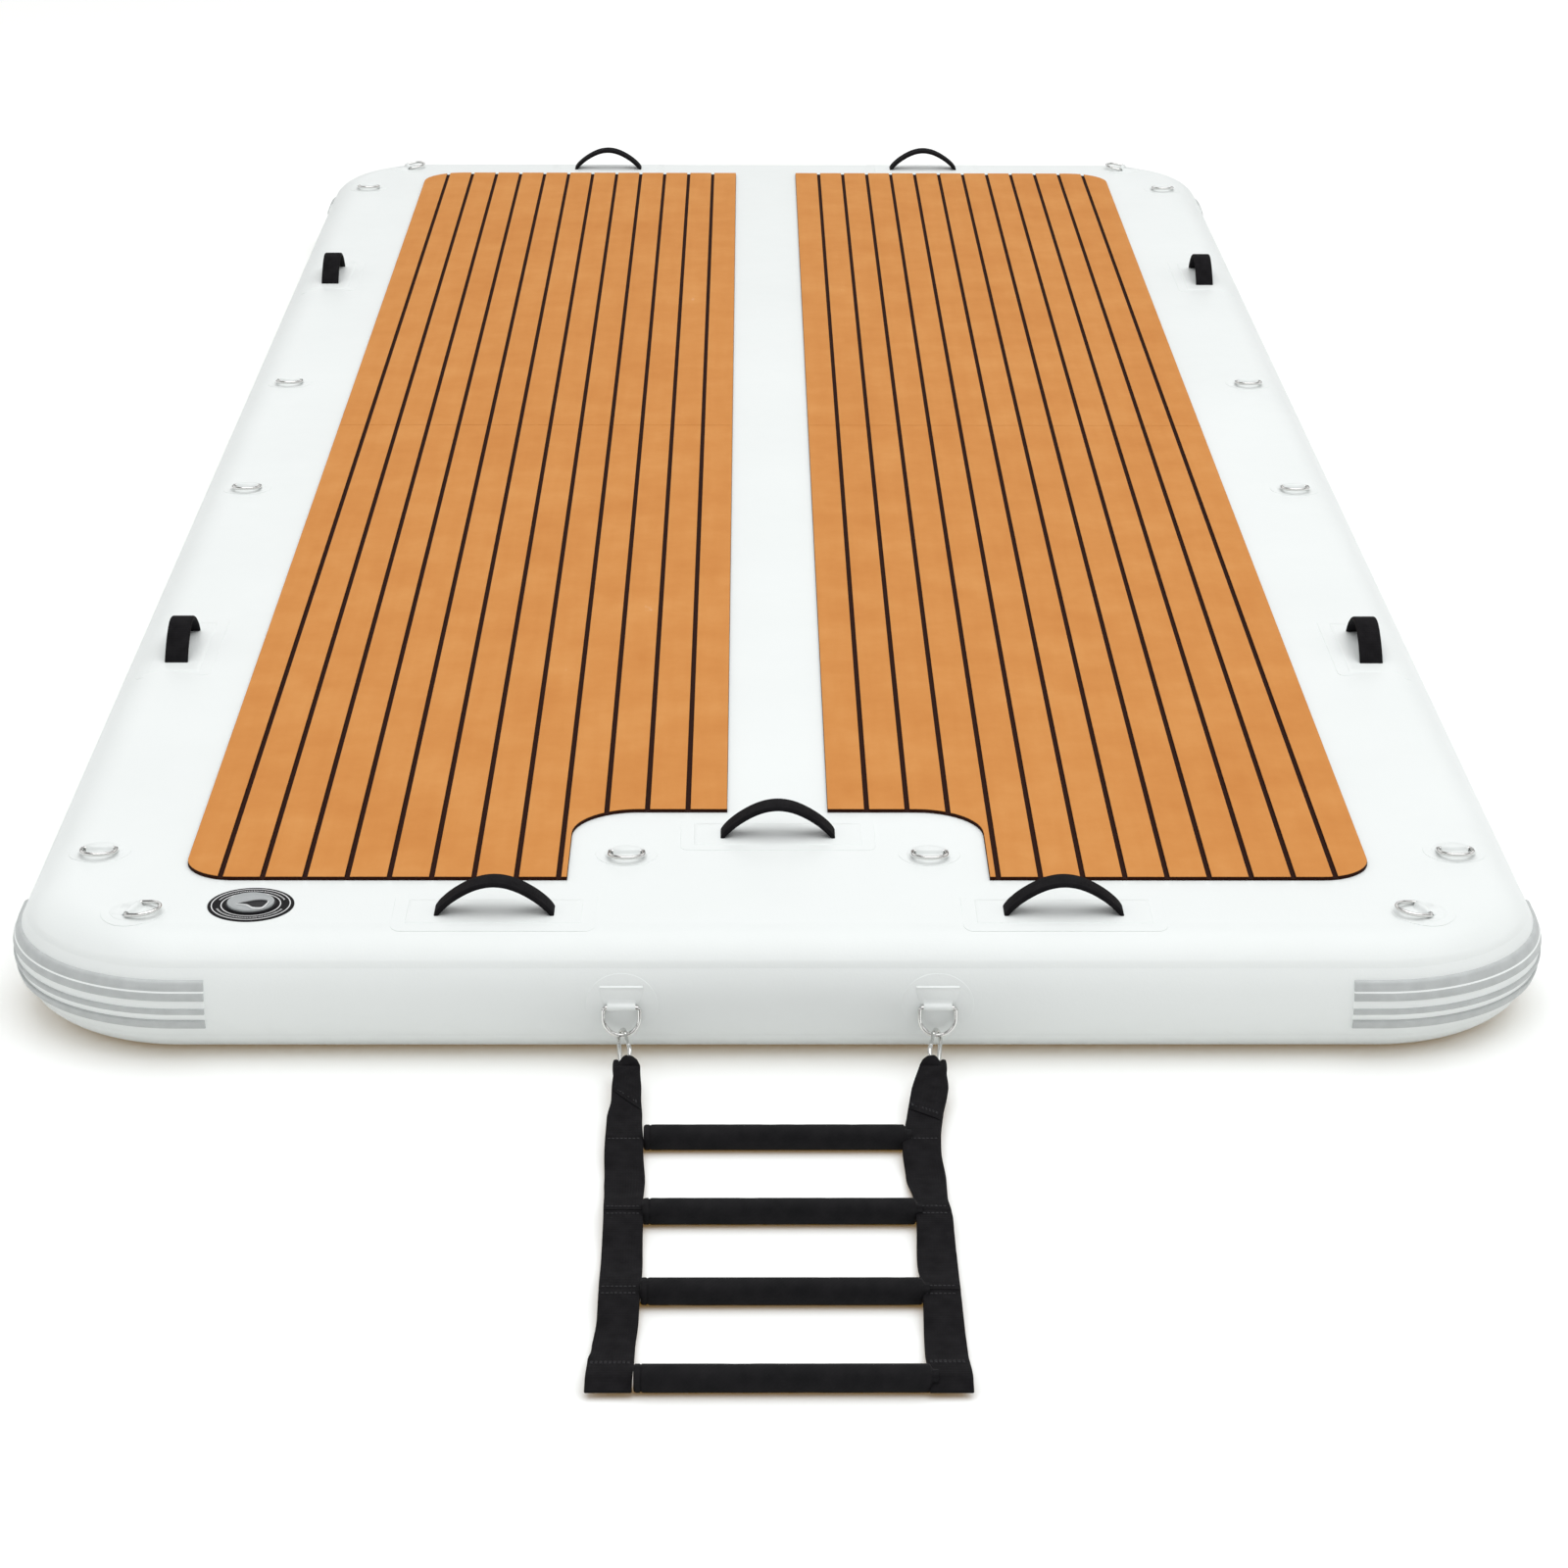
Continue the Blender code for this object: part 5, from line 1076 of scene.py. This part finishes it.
def strap_top(side, sign):
    """First length of strap: gathered in the carabiner's eye, opening out to the first rung."""
    place = hook_frame(side)
    along = place.col[1].to_3d()
    top = place @ Vector((0, HOOK_LENGTH + HOOK_WIDE, 0))
    side_way = (ACROSS - along * along.x).normalized()
    rings = []
    for reach, width, thick, turn in GATHER_LINE:
        centre, roll = top + along * reach, sign * math.radians(turn)
        rings.append(webbing_ring(centre, width / 2, thick, roll, side_way, side_way.cross(along),
                                  min(width, thick) * 0.45))
    for step in range(1, OPEN_STEPS + 1):
        share = step / OPEN_STEPS
        y = centre.y + (RUNG_Y[0] - centre.y) * share
        left, right = strap_edge(side, y)
        spread = ease(min(share / 0.3, 1))
        x = centre.x + ((left + right) / 2 - centre.x) * ease(share) ** 0.7
        half = (width + (right - left - width) * spread) / 2
        strap_thick = thick + (STRAP_THICK - thick) * min(share / 0.55, 1)
        z = centre.z + (RUNG_Z - centre.z) * (1 - (1 - share) ** 2)
        rings.append(strap_ring(x - half, x + half, y, z, strap_thick, roll * (1 - spread)))
    bm = bmesh.new()
    loft(bm, rings)
    tuck = []
    for x, y, z, width in TUCK_LINE:
        plan = rounded_plan(width / 2, width * 0.45, width * 0.3, 3)
        tuck.append([Vector((-sign * x + u, y, z + w)) for u, w in plan])
    loft(bm, tuck)
    first_end, last_end = LAYER_ENDS[side]
    rows = []
    for row in range(LAYER_ROWS + 1):
        across = row / LAYER_ROWS
        end_y = first_end + (last_end - first_end) * across
        fall = 0.0012 * (2 * across - 1) ** 6
        upper, lower = [], []
        for step in range(LAYER_STEPS + 1):
            y = LAYER_START + (end_y - LAYER_START) * step / LAYER_STEPS
            low_x, high_x, top_z = nearest(rings[len(GATHER_LINE):], y)
            x = low_x + LAYER_INSIDE + (high_x - low_x - 2 * LAYER_INSIDE) * across
            lift = LAYER_THICK if 0 < step < LAYER_STEPS else LAYER_EDGE
            upper.append(Vector((x, y, top_z + lift - fall)))
            lower.append(Vector((x, y, top_z - LAYER_SINK)))
        rows.append(upper + lower[::-1])
    loft(bm, rows)
    for away in (Vector((0, 0.003, 0.0002)), Vector((0, 0.006, 0.0004))):
        stitch_row(bm, rows[1][LAYER_STEPS - 1] + away, rows[-2][LAYER_STEPS - 1] + away)
    return bm


for side, sign in (("left", -1), ("right", 1)):
    for k in range(1, 4):
        strap = new_piece("strap_length_%d_%s" % (k + 1, side), strap_length(side, k), black_webbing,
                          black_thread, sharp=60)
        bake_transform(strap)
        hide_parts("strap_%d_%s" % (k + 1, side))
    strap = new_piece("strap_length_1_" + side, strap_top(side, sign), black_webbing, black_thread, sharp=60)
    fix(strap, "ladder_head", "black_webbing", "strap_1_" + side)


# Four rungs: a rigid tube in foam, in a sewn sleeve of black nylon cloth. Each end of the sleeve
# is drawn in and stitched to the straps' inner edges.
RUNG_ENDS = ((-0.1524, 0.1385), (-0.149, 0.1435), (-0.147, 0.1437), (-0.1492, 0.1447))
RUNG_RADIUS = 0.0144
RUNG_COLLAR = 0.0075
RUNG_NECK = 0.0065
RUNG_STEPS, RUNG_SIDES = 60, 32
SEAM_DRAW, SEAM_HALF_WIDTH = 0.0015, 0.0009
END_SHARE, END_ROUND = 0.8, 0.003
NECK_SHARE, NECK_RUN = 0.58, 0.005
RIPPLE, PLEAT = 0.0005, 0.0006

# Plain-woven nylon cloth, pulled tight over foam: dark, with a soft sheen along the top.
# Threads of 0.4 mm, drawn at 1.2 mm.
sleeve_cloth = new_material("sewn_black_nylon_sleeve", Roughness=0.7, IOR=1.53, Specular_IOR_Level=0.09)
place = flat_map(sleeve_cloth)
picks = stripes(sleeve_cloth, place, "DIAGONAL", 130.0, 0.6)
wear = mottle(sleeve_cloth, 45.0, 4.0, Vector=place)
tone(sleeve_cloth, wear, (0.3, "#131315"), (0.7, "#1D1C1E"))
cloth = relief(sleeve_cloth, picks, 0.0002, Strength=0.5)
relief(sleeve_cloth, wear, 0.0012, Strength=0.4, Normal=cloth)


def rung_radius(x, left_end, right_end):
    """Radius of a sleeve: a seam by its left end, and its right end drawn in to a neck."""
    from_left, from_right = max(x - left_end, 0), right_end - x
    if from_left < from_right:
        seam = SEAM_DRAW * math.exp(-((from_left - RUNG_COLLAR) / SEAM_HALF_WIDTH) ** 2)
        full = END_SHARE + (1 - END_SHARE) * min(from_left / END_ROUND, 1) ** 0.5
        return RUNG_RADIUS * full - seam
    drawn = min(max((RUNG_NECK + END_ROUND - from_right) / NECK_RUN, 0), 1)
    return RUNG_RADIUS * (1 - (1 - NECK_SHARE) * ease(drawn))


for k, y in enumerate(RUNG_Y):
    left_end, shoulder = RUNG_ENDS[k]
    right_end = shoulder + RUNG_NECK
    middle, half = (left_end + right_end) / 2, (right_end - left_end) / 2
    rings = []
    for step in range(-RUNG_STEPS, RUNG_STEPS + 1):
        share = step / RUNG_STEPS
        x = middle + half * math.copysign(1 - (1 - abs(share)) ** 1.6, share)
        radius = rung_radius(x, left_end, right_end)
        gathers = PLEAT * math.exp(-(min(max(x - left_end, 0), right_end - x) / 0.012) ** 2)
        ring = []
        for turn in range(RUNG_SIDES):
            angle = 2 * math.pi * turn / RUNG_SIDES
            way = Vector((0, math.cos(angle), math.sin(angle)))
            ripple = noise.noise(Vector((x * 45, 3.1 * way.y + k * 7, 3.1 * way.z))) * RIPPLE
            r = min(radius + ripple + gathers * math.sin(9 * angle + 2 * k), RUNG_RADIUS)
            ring.append(Vector((x, y, RUNG_Z)) + way * r)
        rings.append(ring)
    bm = bmesh.new()
    loft(bm, rings)
    rung = new_piece("rung_sleeve_%d" % (k + 1), bm, sleeve_cloth, sharp=70)
    fix(rung, BODIES[k], "black_sleeve", "rung_%d" % (k + 1))


# The floor is a pale sweep of paper, as in a product picture, lit by one broad soft light over
# the deck and by the white room around it.
FLOOR_HALF = 40.0
FLOOR_DROP = 0.0003
SEEN_GLOW = (0.13, 0.065, 0.0, 1)
LAMP_SIZE, LAMP_POWER, LAMP_PLACE = 16.0, 1180, (2.2, -1.7, 12.0)


def combine(owner, operation, first, second):
    """Work out one value from two."""
    return add_node(owner, "ShaderNodeMath", {0: first, 1: second}, operation=operation).outputs[0]


# Matt white paper: the camera sees it a little brighter and warmer than the dock does.
floor_paper = new_material("pale_paper_floor", Roughness=0.9)
nodes = floor_paper.node_tree.nodes
rays = add_node(floor_paper, "ShaderNodeLightPath").outputs
seen = combine(floor_paper, "MAXIMUM", rays["Is Camera Ray"], rays["Is Glossy Ray"])
seen = combine(floor_paper, "MAXIMUM", seen, rays["Is Transmission Ray"])
tone(floor_paper, seen, (0.0, "#F6F6F4"), (1.0, "#F0F9FF"))
glow = add_node(floor_paper, "ShaderNodeEmission", {"Color": SEEN_GLOW, "Strength": seen})
both = add_node(floor_paper, "ShaderNodeAddShader",
                {0: nodes["Principled BSDF"].outputs["BSDF"], 1: glow.outputs["Emission"]})
# Far from the dock, past the soft light's reach, the paper still looks white.
reach = add_node(floor_paper, "ShaderNodeVectorMath", {0: own_place(floor_paper)}, operation="LENGTH")
far = add_node(floor_paper, "ShaderNodeMapRange",
               {"Value": reach.outputs["Value"], "From Min": 6.0, "From Max": 14.0, "To Max": 0.7})
far = combine(floor_paper, "MULTIPLY", far.outputs["Result"], seen)
far = add_node(floor_paper, "ShaderNodeEmission", {"Strength": far})
both = add_node(floor_paper, "ShaderNodeAddShader", {0: both.outputs["Shader"], 1: far.outputs["Emission"]})
floor_paper.node_tree.links.new(both.outputs["Shader"], nodes["Material Output"].inputs["Surface"])
bm = bmesh.new()
bmesh.ops.create_grid(bm, x_segments=1, y_segments=1, size=FLOOR_HALF)
floor = new_piece("floor", bm, floor_paper)
floor.location.z = -FLOOR_DROP

world = bpy.data.worlds.new("white_room")
scene.world = world
world.use_nodes = True
# The paper's white reaches up behind everything; above it the room is dimmer, up to the light.
sky = add_node(world, "ShaderNodeTexCoord").outputs["Generated"]
up = add_node(world, "ShaderNodeSeparateXYZ", {"Vector": sky}).outputs["Z"]
soft = add_node(world, "ShaderNodeMapRange", {"Value": up, "To Min": 0.48, "To Max": 0.72})
mirrored = add_node(world, "ShaderNodeValToRGB", {"Fac": up},
                    ramp=((0.0, "#5A5A5A"), (0.11, "#5A5A5A"), (0.2, "#FFFFFF"), (0.5, "#FFFFFF"),
                          (0.62, "#6A6A6A"), (0.82, "#6A6A6A"), (0.92, "#D0D0D0"), (1.0, "#FFFFFF")))
rays = add_node(world, "ShaderNodeLightPath").outputs
lit = add_node(world, "ShaderNodeMix", {"Factor": rays["Is Glossy Ray"], "A": soft.outputs["Result"],
                                        "B": mirrored.outputs["Color"]})
seen = combine(world, "MAXIMUM", rays["Is Camera Ray"], rays["Is Transmission Ray"])
level = add_node(world, "ShaderNodeMix", {"Factor": seen, "A": lit.outputs["Result"], "B": 1.0})
background = world.node_tree.nodes["Background"]
background.inputs["Color"].default_value = (1, 1, 1, 1)
world.node_tree.links.new(level.outputs["Result"], background.inputs["Strength"])

lamp = bpy.data.lights.new("soft_box", "AREA")
lamp.shape = "RECTANGLE"
lamp.size, lamp.size_y = LAMP_SIZE, LAMP_SIZE
lamp.energy = LAMP_POWER
soft_box = bpy.data.objects.new("soft_box", lamp)
soft_box.location = LAMP_PLACE
scene.collection.objects.link(soft_box)


# The camera stands above the ladder's foot and looks along the deck.
CAMERA_PLACE = (-0.0365, -6.3408, 1.969)
CAMERA_TURN, CAMERA_PITCH, CAMERA_ROLL = -0.553, 21.04, 0.222
lens = bpy.data.cameras.new("camera")
lens.sensor_width = 36
lens.lens = 91.43
camera = bpy.data.objects.new("camera", lens)
camera.matrix_world = (Matrix.Translation(CAMERA_PLACE) @ rotation(CAMERA_TURN, "Z")
                       @ rotation(90 - CAMERA_PITCH, "X") @ rotation(CAMERA_ROLL, "Z"))
scene.collection.objects.link(camera)
scene.camera = camera
scene.view_settings.view_transform = "Standard"

bpy.context.view_layer.update()
